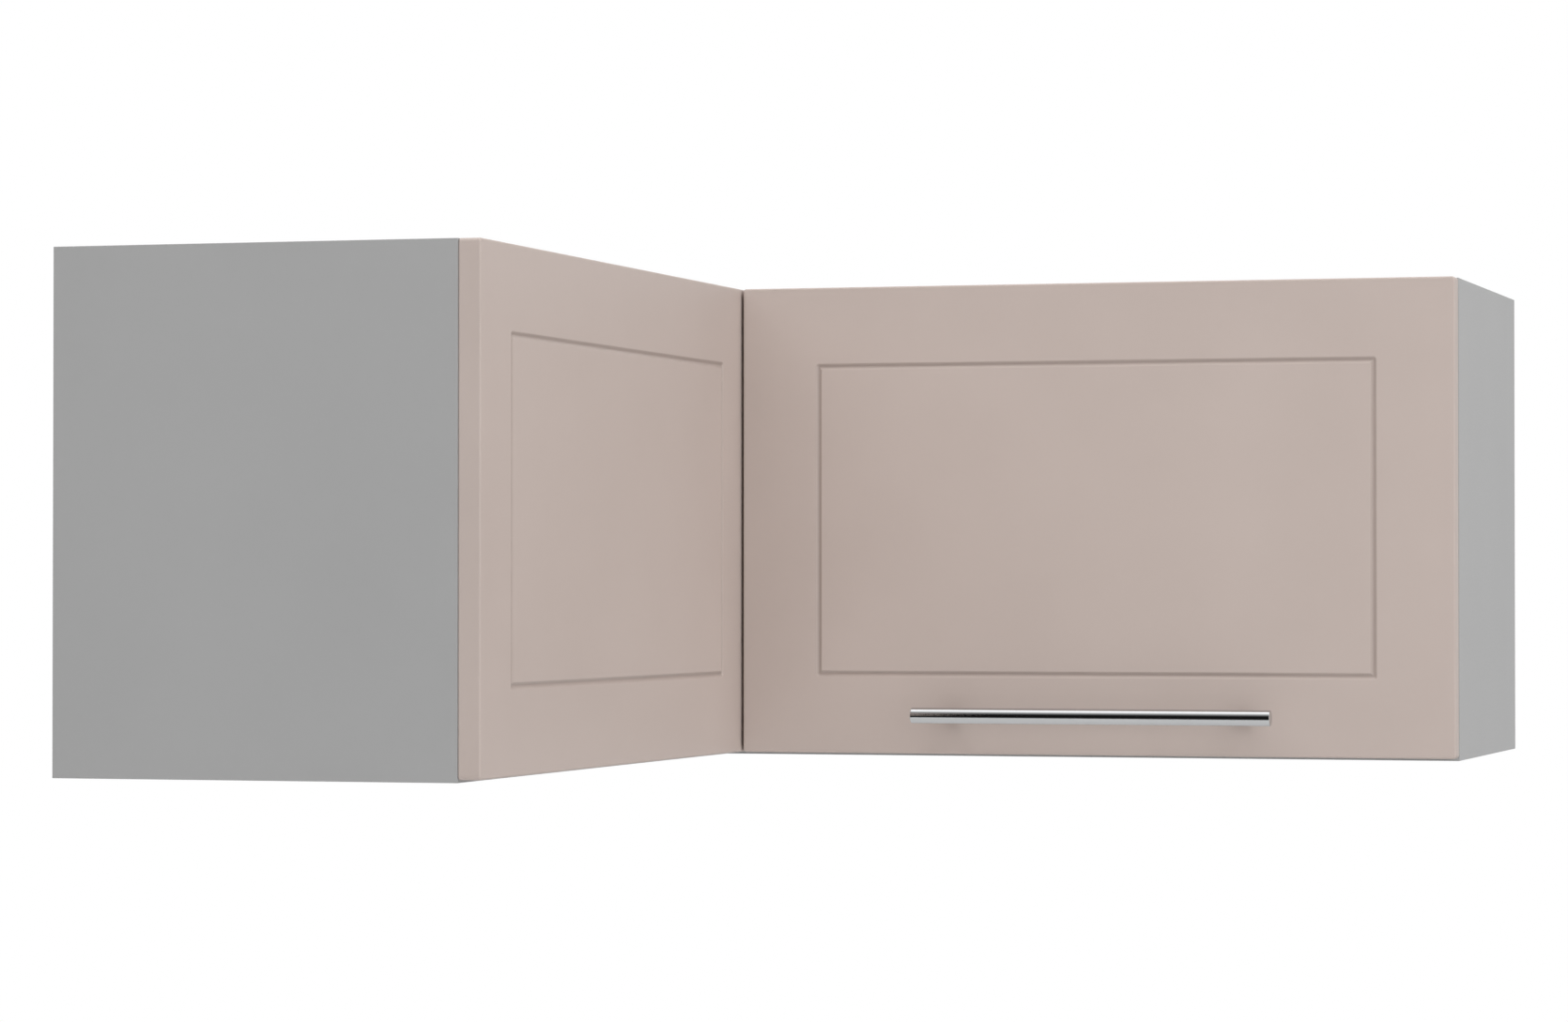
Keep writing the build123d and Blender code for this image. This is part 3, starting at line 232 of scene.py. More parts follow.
class Graph:
    """The shader graph of a material or of the world."""

    def __init__(self, tree: bpy.types.NodeTree, output: str) -> None:
        """Empties the graph and sets its output.

        Args:
            tree: The graph's nodes.
            output: The type of its output node.
        """
        self.tree = tree
        self.tree.nodes.clear()
        self.surface = self.tree.nodes.new(output).inputs["Surface"]

    def feed(self, socket: bpy.types.NodeSocket, source: object) -> None:
        """Gives an input either a link or a constant.

        Args:
            socket: The input.
            source: A Value, or a constant that the socket can hold.
        """
        if isinstance(source, Value):
            self.tree.links.new(source.socket, socket)
        else:
            socket.default_value = source

    def add(
        self,
        kind: str,
        settings: dict[str, object] | None = None,
        inputs: dict[int | str, object] | None = None,
        output: int | str = 0,
    ) -> Value:
        """Adds any node.

        Args:
            kind: The node's type.
            settings: Its settings, which are set before its inputs.
            inputs: Values and constants by input name or number.
            output: The output that is wanted.

        Returns:
            That output.
        """
        node = self.tree.nodes.new(kind)
        for key, setting in (settings or {}).items():
            setattr(node, key, setting)
        for key, source in (inputs or {}).items():
            self.feed(node.inputs[key], source)
        return Value(self, node.outputs[output])

    def place(self, scale: Sequence[float] = (1, 1, 1)) -> Value:
        """The point being shaded, in the piece's own coordinates with each axis stretched."""
        point = self.add("ShaderNodeTexCoord", output="Object")
        return self.add("ShaderNodeMapping", inputs={"Vector": point, "Scale": tuple(scale)})

    def part_of(self, vector: Value, axis: str) -> Value:
        """The X, Y or Z of a vector."""
        return self.add("ShaderNodeSeparateXYZ", inputs={0: vector}, output=axis)

    def noise(self, scale: float, detail: float = 2.0, stretch: Sequence[float] = (1, 1, 1)) -> Value:
        """A pattern from 0 to 1, with so many clouds to the metre and finer detail in them."""
        inputs = {"Vector": self.place(stretch), "Scale": scale, "Detail": detail}
        return self.add("ShaderNodeTexNoise", inputs=inputs, output="Fac")

    def ray(self, kind: str) -> Value:
        """1 for rays of the kind that is named, such as Camera or Glossy, and 0 for others."""
        return self.add("ShaderNodeLightPath", output=f"Is {kind} Ray")

    def mix(self, share: Value, first: Colour | Value, second: Colour | Value) -> Value:
        """A blend of two colours, where a share of 0 gives the first and 1 the second."""
        inputs = {"Factor": share, 6: first, 7: second}
        return self.add("ShaderNodeMix", {"data_type": "RGBA"}, inputs, 2)

    def step(self, source: Value, low: float, high: float) -> Value:
        """A number stretched from low…high to 0…1 and held there outside that range."""
        inputs = {"Value": source, "From Min": low, "From Max": high}
        return self.add("ShaderNodeMapRange", {"clamp": True}, inputs)

    def bump(self, height: Value, depth: float, strength: float) -> Value:
        """The normal of a surface whose height goes from 0 to 1 over a depth in metres."""
        inputs = {"Height": height, "Distance": depth, "Strength": strength}
        return self.add("ShaderNodeBump", inputs=inputs)

    def show(self, shader: Value) -> None:
        """Makes a shader the surface."""
        self.feed(self.surface, shader)

    def overlay(self, share: Value, shader: Value) -> None:
        """Lets another shader cover the surface, wholly where the share is 1."""
        below = Value(self, self.surface.links[0].from_socket)
        self.show(self.add("ShaderNodeMixShader", inputs={0: share, 1: below, 2: shader}))


class MaterialGraph(Graph):
    """One material's shader graph, with a Principled shader at its end."""

    def __init__(self, name: str) -> None:
        """Starts a material.

        Args:
            name: The material's name.
        """
        self.material = bpy.data.materials.new(name)
        self.material.use_nodes = True
        super().__init__(self.material.node_tree, "ShaderNodeOutputMaterial")
        self.shader = self.tree.nodes.new("ShaderNodeBsdfPrincipled")
        self.show(Value(self, self.shader.outputs["BSDF"]))

    def shade(self, **inputs: object) -> None:
        """Sets the shader's inputs, by their names with _ for a space."""
        for key, source in inputs.items():
            self.feed(self.shader.inputs[key.replace("_", " ")], source)


# -------------------------------------------------------------------- finishes


@dataclass(frozen=True)
class Finish:
    """A surface that pieces are given, with a fine grain that stands up from it.

    The roughness goes up and down by its play. The grain is so many grains to the metre,
    with finer detail in them, and so deep, and the relief is how much of it shows.
    """

    name: str
    roughness: float
    play: float
    grain: float
    detail: float
    depth: float
    relief: float
    specular: float = 0.5

    def paint(self, graph: MaterialGraph) -> None:
        """Builds the shader graph in a new material's graph."""
        raise NotImplementedError

    def rough(self, pattern: Value) -> Value:
        """The roughness, where it follows a pattern from 0 to 1."""
        return pattern.spread(self.roughness - self.play, self.roughness + self.play)

    def raised(self, pattern: Value) -> Value:
        """The shading normal of the grain."""
        return pattern.graph.bump(pattern, self.depth, self.relief)

    def material(self) -> bpy.types.Material:
        """The finish as a material, made the first time it is asked for.

        Returns:
            The material.
        """
        known = bpy.data.materials.get(self.name)
        if known:
            return known
        graph = MaterialGraph(self.name)
        graph.shade(Specular_IOR_Level=self.specular)
        self.paint(graph)
        return graph.material


@dataclass(frozen=True)
class PressedFoil(Finish):
    """Matt foil pressed over a milled front, faintly clouded, with shade painted darker into its groove.
    """

    roughness: float = 0.52
    play: float = 0.05
    grain: float = 1400.0
    detail: float = 1.0
    depth: float = 0.04 * MILLIMETRE
    relief: float = 0.25
    clouds: float = 13.0
    cloud_detail: float = 4.0
    deep: Colour = colour(184, 170, 163)
    pale: Colour = colour(190, 176, 169)
    # Painted shade: this darker tone in the groove stands in for the shadow that falls into it.
    painted_groove_shade: Colour = colour(168, 154, 147)

    def paint(self, graph: MaterialGraph) -> None:
        """Builds the foil's shader graph.

        Args:
            graph: The new material's graph.
        """
        clouds = graph.noise(self.clouds, self.cloud_detail)
        # The groove's depth share mixes the painted groove shade into the foil's colour.
        painted_groove_shade = graph.add("ShaderNodeAttribute", {"attribute_name": PAINTED_GROOVE_SHADE}, output="Fac")
        graph.shade(
            Base_Color=graph.mix(painted_groove_shade, graph.mix(clouds, self.deep, self.pale), self.painted_groove_shade),
            Roughness=self.rough(clouds),
            Normal=self.raised(graph.noise(self.grain, self.detail)),
        )


@dataclass(frozen=True)
class Melamine(Finish):
    """Grey melamine paper on chipboard, with its fine pearl texture."""

    roughness: float = 0.46
    play: float = 0.08
    grain: float = 650.0
    detail: float = 2.0
    depth: float = 0.08 * MILLIMETRE
    relief: float = 0.3
    specular: float = 0.3
    clouds: float = 7.0
    cloud_detail: float = 3.0
    deep: Colour = colour(160, 160, 160)
    pale: Colour = colour(166, 166, 166)

    def paint(self, graph: MaterialGraph) -> None:
        """Builds the melamine's shader graph.

        Args:
            graph: The new material's graph.
        """
        clouds = graph.noise(self.clouds, self.cloud_detail)
        pearl = graph.noise(self.grain, self.detail)
        graph.shade(
            Base_Color=graph.mix(clouds, self.deep, self.pale),
            Roughness=self.rough(pearl),
            Normal=self.raised(pearl),
        )


@dataclass(frozen=True)
class Hardboard(Finish):
    """Hardboard, smoothly lacquered on the inside and bare rough fibre on the outside.

    The outside is where the normal's Y less its X is above a limit.
    """

    roughness: float = 0.675
    play: float = 0.175
    grain: float = 420.0
    detail: float = 6.0
    depth: float = 0.2 * MILLIMETRE
    relief: float = 0.35
    specular: float = 0.25
    lacquer: Colour = colour(168, 168, 167)
    fibre: Colour = colour(139, 104, 71)
    dark_fibre: Colour = colour(112, 80, 53)
    outside_above: float = 0.5

    def paint(self, graph: MaterialGraph) -> None:
        """Builds the hardboard's shader graph.

        Args:
            graph: The new material's graph.
        """
        normal = graph.add("ShaderNodeTexCoord", output="Normal")
        outside = (graph.part_of(normal, "Y") - graph.part_of(normal, "X")) > self.outside_above
        felt = graph.noise(self.grain, self.detail)
        bare = graph.mix(felt, self.dark_fibre, self.fibre)
        graph.shade(
            Base_Color=graph.mix(outside, self.lacquer, bare),
            Roughness=self.rough(outside),
            Normal=self.raised(felt),
        )


@dataclass(frozen=True)
class Grained(Finish):
    """A surface whose tone, roughness and relief all follow its grain."""

    base: Colour = WHITE
    dull_share: float = 0.93
    stretch: Place = (1.0, 1.0, 1.0)
    metallic: float = 0.0
    clear: float = 0.0

    def between(self) -> Colour:
        """The tone between the grains."""
        return darker(self.base, self.dull_share)

    def paint(self, graph: MaterialGraph) -> None:
        """Builds the shader graph.

        Args:
            graph: The new material's graph.
        """
        grain = graph.noise(self.grain, self.detail, self.stretch)
        graph.shade(
            Base_Color=graph.mix(grain, self.between(), self.base),
            Metallic=self.metallic,
            Roughness=self.rough(grain),
            Normal=self.raised(grain),
            Transmission_Weight=self.clear,
        )


@dataclass(frozen=True)
class Metal(Grained):
    """Bare or plated metal with a fine drawn or brushed grain."""

    roughness: float = 0.3
    play: float = 0.04
    grain: float = 900.0
    detail: float = 3.0
    depth: float = 0.004 * MILLIMETRE
    relief: float = 0.2
    metallic: float = 1.0


@dataclass(frozen=True)
class Moulded(Grained):
    """Moulded plastic or rubber with a fine spark-eroded texture."""

    roughness: float = 0.45
    play: float = 0.06
    grain: float = 2200.0
    detail: float = 2.0
    depth: float = 0.03 * MILLIMETRE
    relief: float = 0.3


@dataclass(frozen=True)
class Beech(Grained):
    """Turned beech with its grain along the dowel."""

    roughness: float = 0.65
    play: float = 0.1
    grain: float = 900.0
    detail: float = 4.0
    depth: float = 0.1 * MILLIMETRE
    relief: float = 0.3
    base: Colour = colour(181, 138, 93)
    early: Colour = colour(214, 178, 134)
    stretch: Place = (0.15, 0.15, 1.0)

    def between(self) -> Colour:
        """The paler early wood between the grains."""
        return self.early


FOIL = PressedFoil("pressed_foil")
MELAMINE = Melamine("carcass_melamine")
HARDBOARD = Hardboard("lacquered_hardboard")
BRUSHED_STEEL = Metal(
    "brushed_steel",
    roughness=0.09,
    play=0.02,
    grain=70.0,
    depth=0.12 * MILLIMETRE,
    base=colour(204, 205, 206),
    dull_share=0.9,
    stretch=(40.0, 1.0, 1.0),
)
NICKEL = Metal("nickel_plate", base=colour(214, 211, 205))
ZINC = Metal("zinc_plate", roughness=0.36, play=0.06, grain=1100.0, base=colour(194, 198, 204))
GREY_PLASTIC = Moulded("grey_plastic", base=colour(148, 149, 151))
CAP_PLASTIC = Moulded("pale_plastic", roughness=0.4, base=colour(172, 172, 171))
BUMPER = Moulded("clear_bumper", roughness=0.3, base=colour(214, 216, 216), clear=0.35)
BEECH = Beech("dowel_beech")


class Slot(Enum):
    """The record's material slots, each with its finish and how far its edges are broken."""

    FRONT = ("front_foil", FOIL, 0.0)
    CARCASS = ("carcass_grey", MELAMINE, 0.35)
    BACK = ("back_hardboard", HARDBOARD, 0.0)
    HANDLE = ("handle_steel", BRUSHED_STEEL, 0.0)
    NICKEL = ("nickel_steel", NICKEL, 0.2)
    ZINC = ("zinc_steel", ZINC, 0.2)
    FITTING = ("fitting_plastic", GREY_PLASTIC, 0.6)
    CAP = ("cap_plastic", CAP_PLASTIC, 0.2)
    DOWEL = ("dowel_wood", BEECH, 0.0)
    RUBBER = ("bumper_rubber", BUMPER, 0.0)

    @property
    def label(self) -> str:
        """The slot's name in the record."""
        return self.value[0]

    @property
    def finish(self) -> Finish:
        """The finish that fills the slot."""
        return self.value[1]

    @property
    def edge_break(self) -> float:
        """How far the edges of a carried piece are broken, in metres."""
        return self.value[2] * MILLIMETRE


# ---------------------------------------------------------------- mesh helpers


def box_between(mesh: Shape, low: Sequence[float], high: Sequence[float]) -> Corners:
    """Adds a block between two corners.

    Args:
        mesh: The mesh that gets it.
        low: Lowest corner, in metres.
        high: Highest corner, in metres.

    Returns:
        The block's corners.
    """
    low, high = Vector(low), Vector(high)
    size = high - low
    matrix = Matrix.Translation((low + high) / 2) @ Matrix.Diagonal((*size, 1.0))
    return bmesh.ops.create_cube(mesh, size=1.0, matrix=matrix)["verts"]


def turned(mesh: Shape, rings: Sequence[Step], place: Matrix, sides: int) -> None:
    """Adds a turned solid, ring after ring.

    Args:
        mesh: The mesh that gets it.
        rings: Radius and height of each ring, in metres.
        place: Where the solid goes; it stands on +Z before that.
        sides: Facets around it.
    """
    radius, height = rings[0]
    lift = Matrix.Translation((0, 0, height))
    corners = bmesh.ops.create_circle(mesh, radius=radius, segments=sides, matrix=lift)["verts"]
    edges = once(edge for corner in corners for edge in corner.link_edges)
    bmesh.ops.contextual_create(mesh, geom=edges)
    made = list(corners)
    for next_radius, next_height in rings[1:]:
        geometry = bmesh.ops.extrude_edge_only(mesh, edges=edges)["geom"]
        corners = [item for item in geometry if isinstance(item, bmesh.types.BMVert)]
        ring = set(corners)
        edges = [
            edge
            for edge in geometry
            if isinstance(edge, bmesh.types.BMEdge) and set(edge.verts) <= ring
        ]
        growth = next_radius / radius
        bmesh.ops.scale(mesh, vec=(growth, growth, 1.0), verts=corners)
        bmesh.ops.translate(mesh, vec=(0, 0, next_height - height), verts=corners)
        radius, height = next_radius, next_height
        made += corners
    bmesh.ops.contextual_create(mesh, geom=edges)
    bmesh.ops.transform(mesh, matrix=place, verts=made)


def facing(point: Sequence[float], direction: Sequence[float]) -> Matrix:
    """A place whose +Z looks in a direction.

    Args:
        point: Where it is, in metres.
        direction: Where +Z looks.

    Returns:
        The place.
    """
    turn = Vector(direction).to_track_quat("Z", "Y").to_matrix().to_4x4()
    return Matrix.Translation(Vector(point)) @ turn


def round_edges(mesh: Shape, edges: Iterable, radius: float, segments: int) -> None:
    """Rounds some edges.

    Args:
        mesh: The mesh.
        edges: The edges.
        radius: The rounding's radius, in metres.
        segments: Facets across it; a single one makes a chamfer.
    """
    bmesh.ops.bevel(
        mesh,
        geom=list(edges),
        offset=radius,
        offset_type="OFFSET",
        segments=segments,
        profile=0.5,
        affect="EDGES",
        material=-1,
        clamp_overlap=True,
    )


def carve(mesh: Shape, tool: Shape) -> None:
    """Cuts one closed shape out of another.

    Args:
        mesh: The shape that is cut, changed in place.
        tool: The shape that is taken away, freed afterwards.
    """
    objects = []
    for label, shape in (("blank", mesh), ("tool", tool)):
        bmesh.ops.recalc_face_normals(shape, faces=shape.faces)
        objects.append(shown(label, shape))
    blank, cutter = objects
    cut = blank.modifiers.new("cut", "BOOLEAN")
    cut.operation = "DIFFERENCE"
    cut.solver = "EXACT"
    cut.object = cutter
    evaluated = blank.evaluated_get(bpy.context.evaluated_depsgraph_get())
    mesh.clear()
    mesh.from_mesh(evaluated.data)
    tool.free()
    for item in objects:
        bpy.data.meshes.remove(item.data)


def shown(name: str, shape: Shape) -> bpy.types.Object:
    """Puts a shape into the scene.

    Args:
        name: What the object is called.
        shape: The shape, which is left as it is.

    Returns:
        The object.
    """
    data = bpy.data.meshes.new(name)
    shape.to_mesh(data)
    item = bpy.data.objects.new(name, data)
    bpy.context.scene.collection.objects.link(item)
    return item


@dataclass(frozen=True)
class Piece:
    """What a modelled piece is called, rides on, is made of and stands for."""

    name: str
    body: str
    slot: Slot
    stands_for: tuple[str, ...]

    def box(self) -> tuple[Vector, Vector]:
        """The lowest and the highest corner of the CAD piece that this one stands for."""
        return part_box(self.stands_for[0])

    def make(self, mesh: Shape, sharp_angle: float = SHARP_ANGLE) -> None:
        """Turns a mesh into the finished piece and frees it.

        Args:
            mesh: The piece's shape, in the part frame.
            sharp_angle: Edges above this angle stay crisp, in degrees.
        """
        bmesh.ops.recalc_face_normals(mesh, faces=mesh.faces)
        piece = shown(self.name, mesh)
        mesh.free()
        piece.data.shade_smooth()
        piece.data.set_sharp_from_angle(angle=math.radians(sharp_angle))
        piece.data.materials.append(self.slot.finish.material())
        weights = piece.modifiers.new("even_normals", "WEIGHTED_NORMAL")
        weights.keep_sharp = True
        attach(piece, self.body)
        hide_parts(*self.stands_for)
        LOG.info("piece %s: %d facets, rides on %s", self.name, len(piece.data.polygons), self.body)


# -------------------------------------------------------------------- the parts


class Facing(Enum):
    """Which way a front looks, as its turn about the vertical in degrees."""

    CAMERA = 0.0
    DOORWAY = 90.0


@dataclass(frozen=True)
class MilledFront:
    """A board front with rounded edges and one milled groove as a frame."""

    piece: Piece
    looks: Facing
    edge_radius: float = 1.3 * MILLIMETRE
    edge_segments: int = 6
    corner_radius: float = 2.4 * MILLIMETRE
    corner_segments: int = 5
    back_chamfer: float = 1.0 * MILLIMETRE
    groove_margin: float = 58.25 * MILLIMETRE
    groove_width: float = 5.5 * MILLIMETRE
    groove_depth: float = 1.4 * MILLIMETRE
    groove_corner_segments: int = 8
    half_steps: int = 7
    corner_play: float = 0.25 * MILLIMETRE
    corner_reach: float = 1.0 * MILLIMETRE
    cup_places: tuple[Step, ...] = ()
    cup_radius: float = 17.5 * MILLIMETRE
    cup_depth: float = 12.0 * MILLIMETRE
    cup_sides: int = 64
    cutter_height: float = 30.0 * MILLIMETRE

    def middle_face(self, mesh: Shape) -> bmesh.types.BMFace:
        """The face nearest to the middle, of those that look forwards along -Y."""
        looking = (face for face in mesh.faces if face.normal.y < -STRAIGHT_ON)
        return min(looking, key=lambda face: face.calc_center_bounds().xz.length)

    def square_corners(self, mesh: Shape) -> bmesh.types.BMFace:
        """Draws the short corner edges of the middle face together to sharp corners.

        Args:
            mesh: The front.

        Returns:
            The middle face, as wide and as high as before.
        """
        face = self.middle_face(mesh)
        reach = Vector([max(abs(corner.co[i]) for corner in face.verts) for i in range(3)])
        bmesh.ops.remove_doubles(mesh, verts=list(face.verts), dist=self.corner_reach)
        face = self.middle_face(mesh)
        for corner in face.verts:
            corner.co.x = math.copysign(reach.x, corner.co.x)
            corner.co.z = math.copysign(reach.z, corner.co.z)
        return face

    def mark_painted_groove_shade(self, mesh: Shape, surface: float) -> None:
        """Writes down how deep each corner of the groove is, which sets how much shade the foil paints
        there.

        Args:
            mesh: The front.
            surface: Where its face is, along Y.
        """
        painted_groove_shade = mesh.verts.layers.float.new(PAINTED_GROOVE_SHADE)
        # This depth share is the mask of the painted shade in the groove.
        for corner in mesh.verts:
            below = (corner.co.y - surface) / self.groove_depth
            corner[painted_groove_shade] = math.sqrt(below) if 0.0 < below < WHOLE else 0.0

    def groove(self, mesh: Shape) -> None:
        """Mills the groove into the front's face.

        Args:
            mesh: The front, still a plain block.
        """
        face = self.middle_face(mesh)
        bmesh.ops.inset_region(mesh, faces=[face], thickness=self.groove_margin, use_even_offset=True)
        bmesh.ops.bevel(
            mesh,
            geom=list(face.verts),
            offset=self.groove_width / 2 + self.corner_play,
            offset_type="OFFSET",
            segments=self.groove_corner_segments,
            profile=0.5,
            affect="VERTICES",
            material=-1,
        )
        face = self.middle_face(mesh)
        depth = 0.0
        for step in range(1, 2 * self.half_steps + 1):
            turn = math.pi * step / self.half_steps
            next_depth = self.groove_depth / 2 * (1 - math.cos(turn))
            bmesh.ops.inset_region(
                mesh,
                faces=[face],
                thickness=self.groove_width / (2 * self.half_steps),
                depth=depth - next_depth,
                use_even_offset=True,
            )
            depth = next_depth
            if step == self.half_steps:
                face = self.square_corners(mesh)
        # Marks where the foil paints shade into the groove.
        self.mark_painted_groove_shade(mesh, face.calc_center_bounds().y)

    def rim(self, mesh: Shape, level: float) -> list[bmesh.types.BMEdge]:
        """The edges around the face or around the back.

        Args:
            mesh: The front.
            level: Where the face or the back is, along Y.

        Returns:
            The edges between it and the narrow sides.
        """
        return [
            edge
            for edge in mesh.edges
            if all(abs(corner.co.y - level) < IN_PLANE for corner in edge.verts)
            and any(abs(face.normal.y) < SIDEWAYS for face in edge.link_faces)
        ]

    def drill_cups(self, mesh: Shape, back: float) -> None:
        """Drills the blind holes for the hinge cups.

        Args:
            mesh: The front, on its place.
            back: Where its back is, along Y.
        """
        tool = bmesh.new()
        rings = ((self.cup_radius, 0.0), (self.cup_radius, self.cutter_height))
        for x, z in self.cup_places:
            turned(tool, rings, facing((x, back - self.cup_depth, z), (0, 1, 0)), self.cup_sides)
        carve(mesh, tool)

    def build(self) -> None:
        """Builds the front on its CAD node's place."""
        low, high = self.piece.box()
        size = high - low
        length, thickness = (size.x, size.y) if self.looks is Facing.CAMERA else (size.y, size.x)
        half = Vector((length, thickness, size.z)) / 2
        mesh = bmesh.new()
        box_between(mesh, -half, half)
        self.groove(mesh)
        across = (edge for edge in mesh.edges if abs(edge.verts[0].co.y - edge.verts[1].co.y) > half.y)
        round_edges(mesh, across, self.corner_radius, self.corner_segments)
        round_edges(mesh, self.rim(mesh, half.y), self.back_chamfer, 1)
        round_edges(mesh, self.rim(mesh, -half.y), self.edge_radius, self.edge_segments)
        turn = Matrix.Rotation(math.radians(self.looks.value), 4, "Z")
        place = Matrix.Translation((low + high) / 2) @ turn
        bmesh.ops.transform(mesh, matrix=place, verts=mesh.verts)
        if self.cup_places:
            self.drill_cups(mesh, high.y)
        self.piece.make(mesh)


@dataclass(frozen=True)
class BarHandle:
    """A round bar on two round posts, each with a narrower neck at the bar."""

    bar: Piece
    posts: Piece
    post_places: tuple[float, ...] = mm(48, 272)
    rim: float = 0.6 * MILLIMETRE
    rim_angles: tuple[float, ...] = (0.0, 30.0, 60.0, 90.0)
    bar_sides: int = 96
    chamfer: float = 0.4 * MILLIMETRE
    neck: Step = mm(0.88, 0.48)
    post_sides: int = 64

    def build_bar(self) -> None:
        """Builds the bar, with its softly broken rims."""
        low, high = self.bar.box()
        middle = (low + high) / 2
        radius = (high.z - low.z) / 2
        length = high.x - low.x
        turns = [math.radians(angle) for angle in self.rim_angles]
        rings = [
            (radius - self.rim + self.rim * math.sin(turn), self.rim - self.rim * math.cos(turn))
            for turn in turns
        ]
        rings += [(radius, length / 2)] + [(r, length - h) for r, h in reversed(rings)]
        mesh = bmesh.new()
        turned(mesh, rings, facing((low.x, middle.y, middle.z), (1, 0, 0)), self.bar_sides)
        self.bar.make(mesh)

    def build_posts(self) -> None:
        """Builds the two posts between the door and the bar."""
        low, high = self.posts.box()
        radius = (high.z - low.z) / 2
        length = high.y - low.y
        neck_start, neck_end = self.neck
        rings = [
            (radius - self.chamfer, 0.0),
            (radius, self.chamfer),
            (radius, length - neck_start),
            (radius - self.chamfer, length - neck_end),
            (radius - self.chamfer, length),
        ]
        mesh = bmesh.new()
        for x in self.post_places:
            turned(mesh, rings, facing((x, low.y, (low.z + high.z) / 2), (0, 1, 0)), self.post_sides)
        self.posts.make(mesh)

    def build(self) -> None:
        """Builds the bar and the posts."""
        self.build_bar()
        self.build_posts()


@dataclass(frozen=True)
class SocketRecess:
    """A hexagon socket, in shares of the head's radius and height."""

    reach: float = 0.44
    depth: float = 0.55

    def add(self, tool: Shape, place: Matrix, radius: float, height: float) -> None:
        """Adds the recess to a cutting shape, at the middle of the top of a head of that size."""
        reach, depth = self.reach * radius, self.depth * height
        turned(tool, ((reach, -depth), (reach, depth)), place, HEXAGON)


@dataclass(frozen=True)
class CrossRecess:
    """A cross that narrows inwards, in shares of the head's radius; deepest is one of its height."""

    width: float = 0.2
    reach: float = 0.46
    depth: float = 0.5
    deepest: float = 0.8
    narrowing: float = 0.55

    def add(self, tool: Shape, place: Matrix, radius: float, height: float) -> None:
        """Adds the recess to a cutting shape.

        Args:
            tool: The cutting shape.
            place: The middle of the head's top.
            radius: The head's radius, in metres.
            height: The head's height, in metres.
        """
        half = self.width * radius / 2
        depth = min(self.deepest * height, self.depth * radius)
        made = list(box_between(tool, (-half, -half, -depth), (half, half, depth)))
        touching = once(face for corner in made for face in corner.link_faces)
        for face in [face for face in touching if abs(face.normal.z) < SIDEWAYS]:
            arm = bmesh.ops.extrude_discrete_faces(tool, faces=[face])["faces"][0]
            bmesh.ops.translate(tool, vec=arm.normal * (self.reach * radius - half), verts=arm.verts)
            made += arm.verts
        low = [corner for corner in made if corner.co.z < 0]
        bmesh.ops.scale(tool, vec=(self.narrowing, self.narrowing, 1.0), verts=low)
        bmesh.ops.transform(tool, matrix=place, verts=made)


class Drive(Enum):
    """What a head is turned by."""

    CROSS = CrossRecess()
    SOCKET = SocketRecess()
    NONE = None


class Head(Enum):
    """A head's outline as shares of its radius and of its height, from below upwards."""

    PAN = ((1.0, 0.0), (1.0, 0.3), (0.96, 0.52), (0.84, 0.78), (0.66, 0.93), (0.42, 1.0))
    FLUSH = ((0.5, 0.0), (0.94, 0.86), (0.97, 1.0))
    GRUB = ((1.0, 0.0), (1.0, 0.9), (0.9, 1.0))
    RIVET = ((0.92, 0.0), (1.0, 0.12), (1.0, 0.45), (0.93, 0.72), (0.75, 0.92), (0.5, 1.0))
    CAP = ((0.96, 0.0), (1.0, 0.25), (1.0, 0.55), (0.97, 0.85), (0.9, 1.0))
    BUMPER = ((1.0, 0.0), (1.0, 0.2), (0.92, 0.55), (0.72, 0.84), (0.4, 1.0))


@dataclass(frozen=True)
class Rod:
    """One loose round CAD solid: where it starts, which way it points and how thick it is."""

    foot: Vector
    tip: Vector
    foot_radius: float
    tip_radius: float

    @property
    def length(self) -> float:
        """How long the rod is, in metres."""
        return (self.tip - self.foot).length

    @property
    def direction(self) -> Vector:
        """A vector of length one from foot to tip."""
        return (self.tip - self.foot).normalized()

    def reversed(self) -> "Rod":
        """The same rod seen from its other end."""
        return Rod(self.tip, self.foot, self.tip_radius, self.foot_radius)


def loose_parts(node: str) -> list[list[Vector]]:
    """Splits a CAD node into its separate solids.

    Args:
        node: The node's name.

    Returns:
        The corners of each solid.
    """
    mesh = bmesh.new()
    mesh.from_mesh(frame["nodes"][node].data)
    bmesh.ops.remove_doubles(mesh, verts=mesh.verts, dist=SAME_CORNER)
    found = set()
    parts = []
    for start in mesh.verts:
        if start in found:
            continue
        found.add(start)
        part = [start]
        # The part grows as it is walked, until nothing new is near.
        for corner in part:
            near = {edge.other_vert(corner) for edge in corner.link_edges} - found
            found |= near
            part += near
        parts.append([corner.co.copy() for corner in part])
    mesh.free()
    return parts


def radius_at(part: Sequence[Vector], middle: Vector, axis: int, level: float) -> float:
    """Measures how thick a round solid is at one level.

    Args:
        part: Its corners.
        middle: Its middle.
        axis: Its axis, 0 to 2 for X to Z.
        level: Where it is measured, along the axis.

    Returns:
        The radius, in metres.
    """
    ring = [corner - middle for corner in part if abs(corner[axis] - level) < NEGLIGIBLE]
    return max(math.hypot(*(reach[i] for i in range(3) if i != axis)) for reach in ring)


